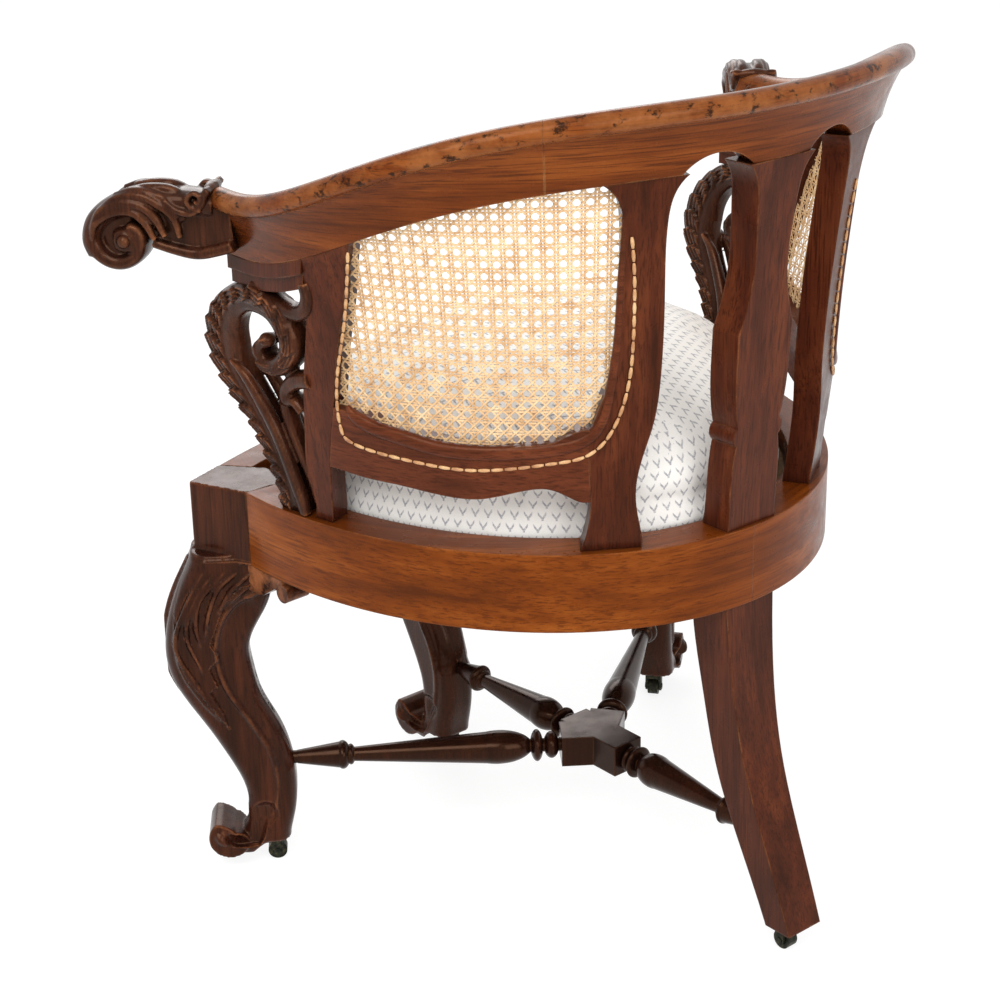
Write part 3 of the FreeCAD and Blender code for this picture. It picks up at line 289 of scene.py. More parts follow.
def seat_cloth():
    """A pale cloth with small grey forked marks in staggered rows."""
    shader = Shader("seat_cloth")
    place = shader.place()
    weave = shader.noise(place, 1500.0, 2.0, 0.5)
    turned = math.radians(MARK_TURN)
    along = shader.vector("DOT_PRODUCT", place, (math.cos(turned), math.sin(turned), 0.0))
    across = shader.vector("DOT_PRODUCT", place, (-math.sin(turned), math.cos(turned), 0.0))
    x, y, z = shader.split(place)
    turn = shader.math("ARCTAN2", x, shader.math("ADD", y, SEAT_SETBACK * MM))
    facing_up = shader.split(shader.add("NewGeometry").outputs["Normal"])[2]
    steep = shader.math("LESS_THAN", facing_up, STEEP_FACING)
    around = shader.math("SUBTRACT", shader.math("MULTIPLY", turn, CLOTH_RADIUS), along)
    along = shader.math("MULTIPLY_ADD", steep, around, along)
    across = shader.math("MULTIPLY_ADD", steep, shader.math("SUBTRACT", z, across), across)
    row = shader.math("DIVIDE", across, MARK_ROW)
    shift = shader.math("MULTIPLY", shader.math("FLOOR", row), MARK_SHIFT)
    column = shader.math("ADD", shader.math("DIVIDE", along, MARK_COLUMN), shift)
    left = shader.math("SUBTRACT", shader.math("FRACT", column), 0.5)
    rise = shader.math("SUBTRACT", shader.math("FRACT", row), 0.5)
    fork = shader.math("ABSOLUTE", left)
    limb = shader.math("SUBTRACT", shader.math("MULTIPLY", fork, 1.5), shader.math("ADD", rise, 0.22))
    limb = shader.ramp(shader.math("ABSOLUTE", limb), (0.09, 1.0), (0.17, 0.0))
    inside = shader.ramp(fork, (0.27, 1.0), (0.33, 0.0))
    foot = shader.math("ABSOLUTE", shader.math("ADD", rise, 0.25))
    stem = shader.math("MULTIPLY", shader.ramp(fork, (0.05, 1.0), (0.10, 0.0)),
                       shader.ramp(foot, (0.10, 1.0), (0.15, 0.0)))
    mark = shader.math("MAXIMUM", shader.math("MULTIPLY", limb, inside), stem)
    broken = shader.ramp(shader.noise(place, 700.0, 2.0), (0.35, 0.45), (0.6, 1.0))
    ground = shader.ramp(weave, (0.3, (0.82, 0.80, 0.76)), (0.7, (0.91, 0.89, 0.85)))
    colour = shader.mix(shader.math("MULTIPLY", mark, broken), ground, MARK_COLOUR)
    normal = shader.bump(weave, 0.35, 0.0003)
    return shader.set(Base_Color=colour, Roughness=0.88, Normal=normal, Sheen_Weight=0.2)


def jute():
    shader = Shader("webbing")
    x, y = shader.split(shader.place())[:2]
    warp = shader.math("SINE", shader.math("MULTIPLY", x, JUTE_THREADS))
    weft = shader.math("SINE", shader.math("MULTIPLY", y, JUTE_THREADS))
    weave = shader.math("MULTIPLY", warp, weft)
    colour = shader.ramp(shader.math("MULTIPLY_ADD", weave, 0.5, 0.5), (0.2, (0.20, 0.12, 0.06)),
                         (0.8, (0.42, 0.29, 0.15)))
    return shader.set(Base_Color=colour, Roughness=0.92, Normal=shader.bump(weave, 0.6, 0.0005))


castor_metal = metal()
cane = cane_straw("cane", ((0.48, 0.27, 0.12), (0.64, 0.42, 0.22), (0.76, 0.56, 0.33)))
binder = cane_straw("cane_binder", ((0.28, 0.11, 0.04), (0.46, 0.24, 0.10), (0.62, 0.40, 0.19)))
cloth = seat_cloth()
webbing = jute()
MATERIALS = [("castor", castor_metal), ("cane", cane), ("seat_cushion", cloth), ("seat_webbing", webbing),
             ("seat_frame", plain_timber), ("corner_blocks", plain_timber), ("stretcher", dark_wood),
             ("crest", crest_wood), ("seat_rail", round_wood), ("front_rail", round_wood),
             ("panel_rail", panel_wood), ("handhold", carved_wood), ("carved_bracket", carved_wood),
             ("knee", carved_wood), ("side_leg", leg_wood), ("front_leg", leg_wood)]
for name, piece in nodes.items():
    chosen = next((material for start, material in MATERIALS if name.startswith(start)), upright_wood)
    piece.data.materials.clear()
    piece.data.materials.append(chosen)

# Mesh helpers: pieces are laid out in millimetres about the seat's centre, as the solids are

def to_frame(point):
    return Vector((point[0], point[1] - SEAT_SETBACK, point[2])) * MM


def from_frame(point):
    return np.array((point[0] / MM, point[1] / MM + SEAT_SETBACK, point[2] / MM))


def curve(controls, count):
    """Points of a smooth curve through a few control rows."""
    rows = np.array(controls, dtype=float)
    ends = np.vstack([2 * rows[0] - rows[1], rows, 2 * rows[-1] - rows[-2]])
    points = []
    for share in np.linspace(0, len(rows) - 1, count):
        index = min(int(share), len(rows) - 2)
        t = share - index
        a, b, c, d = ends[index:index + 4]
        points.append(b + 0.5 * t * (c - a + t * (2 * a - 5 * b + 4 * c - d + t * (3 * b - a - 3 * c + d))))
    return np.array(points)


def spread(values, count):
    return np.interp(np.linspace(0, 1, count), np.linspace(0, 1, len(values)), values)


def unit(vectors):
    vectors = np.asarray(vectors, dtype=float)
    return vectors / np.linalg.norm(vectors, axis=-1, keepdims=True)


class Carving:
    """Closed bands and balls, which may overlap, gathered as one mesh."""

    def __init__(self):
        self.points = []
        self.faces = []

    def band(self, path, wide, deep, across, around=12, square=0.8):
        """A closed band along a path, from its half widths and its half depths along across."""
        path = np.asarray(path, dtype=float)
        count = len(path)
        across = unit(np.broadcast_to(across, path.shape))
        out = unit(np.cross(np.gradient(path, axis=0), across))
        wide, deep = spread(wide, count), spread(deep, count)
        angles = np.linspace(0, 2 * math.pi, around, endpoint=False)
        left = np.sign(np.cos(angles)) * np.abs(np.cos(angles)) ** square
        up = np.sign(np.sin(angles)) * np.abs(np.sin(angles)) ** square
        rings = (path[:, None] + out[:, None] * (wide[:, None] * left)[..., None]
                 + across[:, None] * (deep[:, None] * up)[..., None])
        self.grid(rings)

    def ball(self, centre, radii):
        """An ellipsoid with its poles along Z."""
        turns = np.linspace(0, 2 * math.pi, 14, endpoint=False)
        rings = []
        for lift in np.linspace(-0.985, 0.985, 9) * math.pi / 2:
            ring = np.stack([np.cos(turns) * math.cos(lift), np.sin(turns) * math.cos(lift),
                             np.full(turns.shape, math.sin(lift))], axis=1)
            rings.append(np.asarray(centre) + ring * np.asarray(radii))
        self.grid(np.array(rings))

    def grid(self, rings):
        start = len(self.points)
        count, around = rings.shape[:2]
        self.points.extend(rings.reshape(-1, 3))
        for ring in range(count - 1):
            for step in range(around):
                near = start + ring * around + step
                far = start + ring * around + (step + 1) % around
                self.faces.append((near, far, far + around, near + around))
        self.faces.append(tuple(range(start, start + around))[::-1])
        self.faces.append(tuple(range(start + (count - 1) * around, start + count * around)))

    def add_mesh(self, mesh):
        start = len(self.points)
        self.points.extend(from_frame(vertex.co) for vertex in mesh.vertices)
        self.faces.extend(tuple(start + index for index in face.vertices) for face in mesh.polygons)

    def mesh(self, name):
        made = bpy.data.meshes.new(name)
        made.from_pydata([to_frame(point) for point in self.points], [], self.faces)
        made.validate()
        return made


def applied(piece):
    """The piece with its modifiers' result as its own mesh."""
    depsgraph = bpy.context.evaluated_depsgraph_get()
    piece.data = bpy.data.meshes.new_from_object(piece.evaluated_get(depsgraph))
    piece.modifiers.clear()


def new_piece(name, mesh, material, replaced):
    piece = bpy.data.objects.new(name, mesh)
    scene.collection.objects.link(piece)
    mesh.materials.clear()
    mesh.materials.append(material)
    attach(piece, "chair")
    if replaced:
        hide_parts(*replaced)
    return piece


def one_surface(name, carving, voxel, smoothing):
    """The carving's bands and balls merged into a single smooth skin."""
    piece = bpy.data.objects.new(name, carving.mesh(name))
    scene.collection.objects.link(piece)
    skin = piece.modifiers.new("skin", "REMESH")
    skin.mode = "VOXEL"
    skin.voxel_size = voxel * MM
    eased = piece.modifiers.new("eased", "SMOOTH")
    eased.factor = 0.5
    eased.iterations = smoothing
    applied(piece)
    mesh = piece.data
    bpy.data.objects.remove(piece)
    mesh.shade_smooth()
    return mesh


def mirrored(mesh, name):
    other = mesh.copy()
    other.name = name
    bent = bmesh.new()
    bent.from_mesh(other)
    for vertex in bent.verts:
        vertex.co.x = -vertex.co.x
    bmesh.ops.reverse_faces(bent, faces=bent.faces)
    bent.to_mesh(other)
    bent.free()
    return other


def pair_of(name, mesh, material, node):
    """The left piece and its mirror image; node is the start of the names that they replace."""
    for side, made in (("left", mesh), ("right", mirrored(mesh, name + "_right"))):
        new_piece("%s_%s" % (name, side), made, material, ["%s_%s" % (node, side)] if node else [])


VOXEL = 1.15
LEG_VOXEL = 1.5

# The carved brackets: a leafy scroll on a stem, with a smooth ridge, a curled end and struts to the stile
BRACKET_FOOT, BRACKET_HINGE, BRACKET_SPLAY, BRACKET_LEAN = 265.1, 75.0, 0.105, 0.159
BRACKET_MIDDLE = 13.5
RAIL_TOP = 390.0
bracket_out = unit((1.0, BRACKET_SPLAY, -BRACKET_LEAN))


def on_bracket(flat, deep):
    """Points of the bracket from (place, height) rows and a depth in from its outer face."""
    flat = np.asarray(flat, dtype=float)
    splayed = BRACKET_SPLAY * (BRACKET_HINGE - flat[:, 0])
    across = BRACKET_FOOT + splayed + BRACKET_LEAN * (flat[:, 1] - RAIL_TOP)
    return np.stack([across - deep, flat[:, 0], flat[:, 1]], axis=1)


SCROLL = [(37, 388), (36, 420), (27, 446), (16, 470), (4, 488), (-7, 504), (-14, 520), (-15, 537), (-9, 556),
          (5, 573), (23, 583), (42, 584), (58, 579), (68, 567), (72, 553), (65, 538), (50, 527), (37, 527),
          (31, 535), (35, 544), (46, 549)]
SCROLL_WIDE = (15, 14, 14, 14, 15, 17, 20, 22, 19, 15, 13, 12, 12, 12, 12, 10, 9, 7.5, 6.5, 5.5, 4.5)
SCROLL_DEEP = (12, 12, 12, 12, 12, 12, 11.5, 11, 11, 11, 11, 11, 11, 11, 11, 11, 11, 11, 11, 11, 10)
STEM_RIDGE = [(-2, 522), (14, 510), (29, 488), (40, 467), (48, 439), (55, 409), (57, 391)]
TOP_HOOK = [(36, 598), (52, 588), (68, 582), (84, 581), (97, 587), (104, 600), (103, 612)]
SIDE_CURL = [(86, 522), (68, 517), (53, 506), (51, 496), (62, 497), (70, 490)]
STRUT = [(54, 510), (47, 490), (50, 467), (57, 445), (65, 424), (68, 404)]
HUSK_LENGTH, HUSK_RISE, HUSK_POINT = 15.0, 4.6, 10.0
HUSK_CENTRE, HUSK_HALF = 0.38, 0.66


def husked(mesh):
    """The scroll's faces raised into a chain of overlapping leaf tips with veins, over its outer part."""
    spots = np.array([from_frame(vertex.co) for vertex in mesh.vertices])
    facing = np.array([vertex.normal for vertex in mesh.vertices]) @ bracket_out
    path = curve(SCROLL, 240)
    ways = unit(np.gradient(path, axis=0))
    run = np.concatenate([[0.0], np.cumsum(np.linalg.norm(np.diff(path, axis=0), axis=1))])
    flat = spots[:, 1:]
    gaps = (flat ** 2).sum(axis=1)[:, None] - 2 * flat @ path.T + (path ** 2).sum(axis=1)
    nearest = gaps.argmin(axis=1)
    apart = flat - path[nearest]
    wide = spread(SCROLL_WIDE, len(path))[nearest]
    aside = (apart[:, 1] * ways[nearest, 0] - apart[:, 0] * ways[nearest, 1]) / wide
    local = (aside - HUSK_CENTRE) / HUSK_HALF
    phase = (run[nearest] + HUSK_POINT * local ** 2) / HUSK_LENGTH
    rise = HUSK_RISE * (phase - np.floor(phase)) * np.clip(1 - local ** 4, 0, 1)
    rise += 0.8 * np.cos(5 * math.pi * local) * np.clip(1 - local ** 2, 0, 1)
    rise *= np.minimum(wide / 14, 1) * np.clip((np.abs(facing) - 0.35) / 0.4, 0, 1) * (np.abs(aside) < 1.1)
    moved = spots + bracket_out * (np.sign(facing) * rise)[:, None]
    mesh.vertices.foreach_set("co", np.array([to_frame(spot) for spot in moved]).ravel())
    mesh.update()
    return mesh


bracket = Carving()
bracket.band(on_bracket(curve(SCROLL, 90), BRACKET_MIDDLE), SCROLL_WIDE, SCROLL_DEEP, bracket_out, 16, 0.6)
bracket.band(on_bracket(curve(TOP_HOOK, 26), BRACKET_MIDDLE), (5, 7, 7.5, 7.5, 6.5, 6), (9, 9, 9),
             bracket_out)
bracket.band(on_bracket(curve(SIDE_CURL, 26), BRACKET_MIDDLE), (8, 8, 7, 6, 5, 4.5), (9, 9, 9), bracket_out)
bracket.band(on_bracket(curve(STRUT, 22), BRACKET_MIDDLE), (6, 6, 6, 6, 5), (8, 8, 8), bracket_out)
for deep in (2.0, 2 * BRACKET_MIDDLE - 2.0):
    bracket.band(on_bracket(curve(STEM_RIDGE, 40), deep), (1.5, 5, 6, 6, 6, 6, 5), (3, 5, 6, 6, 6, 5),
                 bracket_out)
    bracket.ball(on_bracket([(49, 551)], deep + (3 if deep < BRACKET_MIDDLE else -3))[0], (8, 6.5, 6.5))
pair_of("bracket_carving", husked(one_surface("bracket_carving_left", bracket, VOXEL, 2)), carved_wood,
        "carved_bracket")

# The handholds: a leaf wrapped over a scroll, on a neck with a moulded underside and a curled collar
HAND_ORIGIN = np.array((310.0, 24.0, 0.0))
HAND_ANGLE = math.radians(50.0)
hand_out = np.array((math.cos(HAND_ANGLE), -math.sin(HAND_ANGLE), 0.0))
hand_side = np.array((math.sin(HAND_ANGLE), math.cos(HAND_ANGLE), 0.0))


def on_hand(flat, aside):
    """Points of the handhold from (reach, height) rows and a distance to one side of its middle."""
    flat = np.asarray(flat, dtype=float)
    aside = np.broadcast_to(np.asarray(aside, dtype=float), flat.shape[:1])
    return (HAND_ORIGIN + flat[:, :1] * hand_out + aside[:, None] * hand_side
            + flat[:, 1:] * np.array((0.0, 0.0, 1.0)))


NECK = [(-12, 651), (5, 650), (22, 649), (42, 653), (60, 658)]
LEAF_BACK = [(2, 665), (20, 667), (38, 668), (58, 668), (78, 664), (93, 657), (103, 647), (107, 634),
             (104, 622)]
VOLUTE = [(74, 643), (72, 647), (66, 644), (64, 636), (68, 624), (79, 617), (92, 618), (103, 627), (106, 640),
          (98, 654), (84, 663), (70, 666)]
UNDER_RIM = [(54, 634), (36, 629), (18, 626), (2, 629), (-12, 633)]
LOBES = [([(104, 636), (100, 650), (86, 659), (70, 661), (58, 653), (51, 638)], 17.5),
         ([(104, 646), (95, 660), (79, 667), (61, 666), (49, 656), (42, 641)], 17.5),
         ([(97, 661), (81, 671), (62, 674), (46, 667), (34, 657), (30, 640)], 16.0),
         ([(84, 673), (66, 677), (49, 674), (37, 668), (26, 654)], 13.0),
         ([(73, 677), (52, 679), (36, 677), (22, 668)], 8.0)]
COLLAR = [(41, 671), (31, 663), (20, 661), (11, 667), (7, 676), (3, 681)]
COLLAR_CURL = [(10, 664), (18, 666), (21, 672), (16, 678), (10, 675), (11, 670), (15, 671)]

hand = Carving()
hand.band(on_hand(curve(NECK, 14), 0), (20, 23, 23, 20, 16), (12, 12, 12, 12), hand_side, 16, 0.5)
hand.band(on_hand(curve(LEAF_BACK, 40), 0), (10, 10, 10, 10, 10, 10, 10, 9, 8),
          (17, 18, 18, 18, 18, 18, 17, 17, 16), hand_side, 18, 0.75)
hand.band(on_hand(curve(VOLUTE, 60), 0), (3, 4, 5, 5.5, 6, 7, 7.5, 8, 8, 8, 8, 6), (18, 18, 18, 18, 18),
          hand_side, 18, 0.7)
hand.band(on_hand([(84, 660), (84, 648), (84, 636), (84, 624)], 0), (14, 19, 19, 12), (12, 12, 12, 12),
          hand_side)
hand.band(on_hand(curve(UNDER_RIM, 20), 0), (5, 5.5, 6, 6), (16, 17, 17, 16), hand_side, 14, 0.6)
hand.band([on_hand([(5, 678)], aside)[0] for aside in np.linspace(-16, 16, 9)], (3, 5, 6, 5, 3),
          (3, 5, 6, 5, 3), (0, 0, 1))
for side in (-1, 1):
    hand.band([on_hand([(77, 636)], side * aside)[0] for aside in (10, 14, 17, 18.5)], (10.5, 10.5, 9.5, 8),
              (10.5, 10.5, 9.5, 8), (0, 0, 1))
    hand.ball(on_hand([(77, 636)], side * 18.0)[0], (6, 6, 6))
    for path, aside in LOBES:
        hand.band(on_hand(curve(path, 26), side * aside), (1.8, 3.4, 3.7, 3.8, 3.7, 2.2),
                  (2, 4.6, 5.2, 5.2, 5, 3), hand_side)
    hand.band(on_hand(curve(COLLAR, 20), side * 17.0), (2.2, 3.2, 3.4, 3.4, 3.2), (3, 4.5, 5, 5, 4.5),
              hand_side)
    hand.band(on_hand(curve(COLLAR_CURL, 26), side * 18.0), (2.6, 2.6, 2.4, 2.2, 1.8),
              (4, 4.5, 5, 5, 4.5), hand_side)
pair_of("handhold_carving", one_surface("handhold_carving_left", hand, VOXEL, 2), carved_wood,
        "handhold")

# The cabriole legs: a spine down the front, acanthus on the knee and an upturned scroll toe
HUB = np.array((0.0, 140.0, 0.0))
LEG_RIDGE = [(300, 296), (318, 288), (336, 277), (349, 255), (353, 226), (346, 193), (327, 159), (310, 124),
             (305, 90), (309, 60)]
LEAVES = [[(360, 312), (377, 280), (389, 240), (372, 200), (352, 160)],
          [(350, 312), (369, 285), (378, 252), (366, 212)],
          [(340, 312), (363, 287), (369, 262), (366, 238)],
          [(330, 311), (347, 296), (357, 272), (362, 245)],
          [(317, 310), (336, 294), (349, 272)],
          [(306, 305), (326, 293), (343, 276)],
          [(386, 266), (387, 222), (371, 186), (354, 160)]]
TOE_LAP = [(360, 46), (352, 32), (338, 27), (322, 36), (311, 58)]
TOE_KNOB = (360.0, 36.0)
TOE_DISH = [(352, 24), (338, 20), (322, 26), (311, 44)]
TOE_TIP, TOE_DROP = 366.0, 13.0
LEAF_OUTLINE = [(306, 304), (326, 296), (342, 280), (349, 262), (357, 240), (350, 226), (360, 214),
                (353, 196), (361, 190), (350, 168), (346, 150), (362, 176), (380, 205), (392, 240),
                (388, 275), (374, 322), (306, 322)]
LEAF_RISE = 2.6
LEG_HOLLOWS = [([(326, 272), (336, 250), (338, 228), (328, 192), (308, 153), (292, 116)], 15.0, 4.0),
               ([(346, 38), (332, 42), (318, 58)], 13.0, 6.0)]


def within(spots, outline):
    """Which of the flat spots lie inside a closed outline."""
    inside = np.zeros(len(spots), dtype=bool)
    for (x0, y0), (x1, y1) in zip(outline, outline[1:] + outline[:1]):
        crosses = (y0 > spots[:, 1]) != (y1 > spots[:, 1])
        if y0 != y1:
            inside ^= crosses & (spots[:, 0] < x0 + (x1 - x0) * (spots[:, 1] - y0) / (y1 - y0))
    return inside


CASTOR_REACH = 318.0
CASTOR_ROOM = ((29.0, -6.0), (18.5, 24.6))
CREASE = math.radians(55.0)
BESIDE_LEG, BEYOND_LEG = 90.0, 520.0
SPINE_TOP, SPINE_FOOT = 318.0, 140.0
TOE_KNOB_ASIDE = 21.0
TOE_ROOT, TOE_TOP, TOE_UNDER = 318, 62, 24


def with_castor_room(mesh, centre):
    """The mesh with a flared hollow cut from below, in which a castor under centre can swivel all round."""
    turns = np.linspace(0, 2 * math.pi, 64, endpoint=False)
    ring = np.stack([np.cos(turns), np.sin(turns), np.zeros(turns.shape)], axis=1)
    rings = [centre + ring * radius + np.array((0.0, 0.0, height)) for radius, height in CASTOR_ROOM]
    room = Carving()
    room.grid(np.array(rings))
    piece = bpy.data.objects.new("hollowed", mesh)
    cutter = bpy.data.objects.new("castor_room", room.mesh("castor_room"))
    for item in (piece, cutter):
        scene.collection.objects.link(item)
    taken = piece.modifiers.new("taken", "BOOLEAN")
    taken.operation = "DIFFERENCE"
    taken.solver = "MANIFOLD"
    taken.object = cutter
    applied(piece)
    made = piece.data
    bpy.data.objects.remove(piece)
    bpy.data.objects.remove(cutter)
    made.set_sharp_from_angle(angle=CREASE)
    return made


def carved_leg(node_name, angle, pull):
    """A leg's solid with its carving laid on both sides, as one skin."""
    solid = nodes[node_name].data
    tree = BVHTree.FromPolygons([vertex.co for vertex in solid.vertices],
                                [tuple(face.vertices) for face in solid.polygons])
    outward = np.array((math.cos(angle), math.sin(angle), 0.0))
    sideways = np.array((-math.sin(angle), math.cos(angle), 0.0))

    def place(reach, aside, height):
        return HUB + outward * (reach - pull) + sideways * aside + np.array((0.0, 0.0, height))

    def on_side(path, count, side):
        found = []
        for reach, height in curve(path, count):
            beside = to_frame(place(reach, BESIDE_LEG * side, height))
            hit = tree.ray_cast(beside, Vector(-side * sideways))[0]
            if hit is not None:
                found.append(from_frame(hit))
        return found

    leg = Carving()
    leg.add_mesh(solid)
    spine = []
    for height in np.linspace(SPINE_TOP, SPINE_FOOT, 24):
        hit = tree.ray_cast(to_frame(place(BEYOND_LEG, 0.0, height)), Vector(-outward))[0]
        if hit is not None:
            spine.append(from_frame(hit))
    leg.band(spine, (2, 4, 4.5, 4, 1.5), (2, 3.4, 3.6, 3.2, 1.5), sideways)
    for side in (-1, 1):
        leg.band(on_side(LEG_RIDGE, 50, side), (2.5, 2.5, 2.5, 2.5, 2.2, 2.0),
                 (2.6, 2.6, 2.6, 2.6, 2.4, 2.0), sideways)
        leg.band(on_side(TOE_LAP, 24, side), (2.6, 2.6, 2.6, 2.6), (2.4, 2.4, 2.4, 2.4), sideways)
        for path in LEAVES:
            leg.band(on_side(path, 22, side), (1.2, 2.2, 2.6, 2.3, 1.0), (1.5, 4.0, 4.6, 4.0, 1.4), sideways)
        leg.ball(place(TOE_KNOB[0], side * TOE_KNOB_ASIDE, TOE_KNOB[1]), (8, 8, 8))
    dish = [place(reach, 0.0, height) for reach, height in curve(TOE_DISH, 14)]
    leg.band(dish, (8, 10, 11, 10), (18, 19, 19, 19), sideways)
    mesh = one_surface(node_name + "_carving", leg, LEG_VOXEL, 1)
    spots = np.array([from_frame(vertex.co) for vertex in mesh.vertices]) - HUB
    reach, aside, height = spots @ outward + pull, spots @ sideways, spots[:, 2]
    flat = np.stack([reach, height], axis=1)
    facing = np.array([vertex.normal for vertex in mesh.vertices]) @ sideways
    raised = within(flat, LEAF_OUTLINE) * np.clip((np.abs(facing) - 0.3) / 0.3, 0, 1)
    aside = aside + np.sign(facing) * LEAF_RISE * raised
    for path, half_width, depth in LEG_HOLLOWS:
        gap = np.linalg.norm(flat[:, None] - curve(path, 40)[None], axis=2).min(axis=1)
        aside = aside - np.sign(aside) * depth * np.clip(1 - (gap / half_width) ** 2, 0, 1)
    behind_tip = np.clip((TOE_TIP - reach) / 18, 0, 1) * np.clip((reach - TOE_ROOT) / 8, 0, 1)
    low = (height < TOE_TOP) * np.clip((height - TOE_UNDER) / 14, 0, 1)
    height = height - TOE_DROP * behind_tip * low
    furthest = max((from_frame(vertex.co) - HUB) @ outward for vertex in solid.vertices) + pull
    reach = np.minimum(reach, furthest)
    moved = [to_frame(place(*spot)) for spot in zip(reach, aside, height)]
    mesh.vertices.foreach_set("co", np.array(moved).ravel())
    mesh.update()
    return with_castor_room(mesh, place(CASTOR_REACH, 0.0, 0.0))


SIDE_LEG_ANGLE = -math.atan2(203.0, 275.0)
FRONT_LEG_PULL = 80.0
pair_of("leg_carving", carved_leg("side_leg_left", SIDE_LEG_ANGLE, 0.0), leg_wood, "side_leg")
front_carving = carved_leg("front_leg", -math.pi / 2, FRONT_LEG_PULL)
new_piece("leg_carving_front", front_carving, leg_wood, ["front_leg"])

# The cane: paired uprights and rows with two sets of diagonals through their crossings, and a stitched binder
BACK_INSET, SEAT_HALF_WIDTH, SEAT_HALF_DEPTH = 7.0, 275.0, 330.0
CANE_DEPTH = 11.0
FIRST_TURN, TURN_PITCH = 25.2, 2.2
FIRST_ROW, ROW_PITCH = 474.0, 10.0
CANE_COLUMNS, CANE_ROWS = 27, 25
STRAND_HALF_WIDE, STRAND_HALF_DEEP = 0.75, 0.3
BACK_LAG = 12.6
LEAN_EVEN, LEAN_LATE = 0.65, 0.35


def back_point(turn, height, depth):
    """A point of the back and the way out of it there: turn degrees round from the rear, depth inwards."""
    lag = math.radians(turn - BACK_LAG * (turn / 90) ** 2)
    foot = np.array(((SEAT_HALF_WIDTH - BACK_INSET) * math.sin(lag),
                     (SEAT_HALF_DEPTH - BACK_INSET) * math.cos(lag)))
    round_it = math.radians(min(turn, 90))
    top = np.array((CREST_HALF_WIDTH * math.sin(round_it),
                    CREST_BACK + CREST_HALF_DEPTH * math.cos(round_it)))
    dropped = min(turn / ARM_TURN, 1.0) ** ARM_DROP_POWER
    level = CREST_TOP - ARM_DROP * math.sin(math.pi / 2 * dropped) ** 2
    rise = max((height - RAIL_TOP) / (level - HALF_ROLL - RAIL_TOP), 0.0)
    out = unit(top - foot)
    point = foot + (top - foot) * (LEAN_EVEN * rise + LEAN_LATE * rise ** 6) - out * depth
    return np.array((point[0], point[1], height)), np.array((out[0], out[1], 0.0))


cane_mesh = nodes["cane_panel_left"].data
cane_tree = BVHTree.FromPolygons([vertex.co for vertex in cane_mesh.vertices],
                                 [tuple(face.vertices) for face in cane_mesh.polygons])


def in_panel(turn, height):
    if not 15.0 < turn < 95.0:
        return False
    point, out = back_point(turn, height, 0.0)
    return cane_tree.ray_cast(to_frame(point), Vector(-out), 0.03)[0] is not None


def strand(carving, start, step, count, layer, wave):
    """A flat strand from column and row numbers, kept where it lies in the panel and a little beyond."""
    spots = [np.array(start) + np.array(step) * index for index in range(count)]
    placed = [(FIRST_TURN + TURN_PITCH * column, FIRST_ROW + ROW_PITCH * row, column + row)
              for column, row in spots]
    inside = [index for index, (turn, height, phase) in enumerate(placed) if in_panel(turn, height)]
    if len(inside) < 2:
        return
    path, outs = [], []
    for turn, height, phase in placed[max(inside[0] - 1, 0):inside[-1] + 2]:
        point, out = back_point(turn, height, CANE_DEPTH - layer - wave * math.cos(math.pi * phase))
        path.append(point)
        outs.append(out)
    carving.band(path, [STRAND_HALF_WIDE] * 2, [STRAND_HALF_DEEP] * 2, np.array(outs), 6, 0.5)


weave = Carving()
PAIR_HALF = 0.13
FINE = 0.34
for column in range(CANE_COLUMNS):
    for aside in (-PAIR_HALF, PAIR_HALF):
        strand(weave, (column + aside, 0.0), (0.0, FINE), int(CANE_ROWS / FINE), -0.5, 0.15)
for row in range(CANE_ROWS):
    for aside in (-PAIR_HALF, PAIR_HALF):
        strand(weave, (0.0, row + aside), (FINE, 0.0), int(CANE_COLUMNS / FINE), 0.1, -0.15)
for first in range(-CANE_ROWS, CANE_COLUMNS):
    strand(weave, (first + 0.5, 0.0), (FINE, FINE), int(CANE_ROWS / FINE), 0.7, 0.15)
for first in range(CANE_COLUMNS + CANE_ROWS):
    strand(weave, (first + 0.5, 0.0), (-FINE, FINE), int(CANE_ROWS / FINE), 1.2, -0.15)
pair_of("cane_weave", weave.mesh("cane_weave_left"), cane, "cane_panel")


def on_back(path, count, depth):
    """Points of the back, and the ways out of it there, along a path of (turn, height) rows."""
    found = [back_point(turn, height, depth) for turn, height in curve(path, count)]
    return np.array([point for point, out in found]), np.array([out for point, out in found])


# The wooden lip under the cane, and the binder stitched into a groove outside it
LIP = [(78.8, 506), (77.5, 498), (73, 490), (66, 484), (60, 479), (53, 478), (45, 480), (38, 484),
       (33.5, 491), (30.8, 505), (29.2, 535), (28.2, 575), (27.9, 620), (27.6, 660), (27.8, 690)]
lip = Carving()
points, outs = on_back(LIP, 70, 3.0)
lip.band(points, (1.5, 6, 6.5, 6.5, 6.5, 6, 5, 4, 3, 2.5, 1),
         (2, 5, 5, 5, 5, 5, 5, 4.5, 4, 3.5, 2), outs, 16)
lip_mesh = lip.mesh("panel_lip_left")
lip_mesh.shade_smooth()
pair_of("panel_lip", lip_mesh, panel_wood, None)

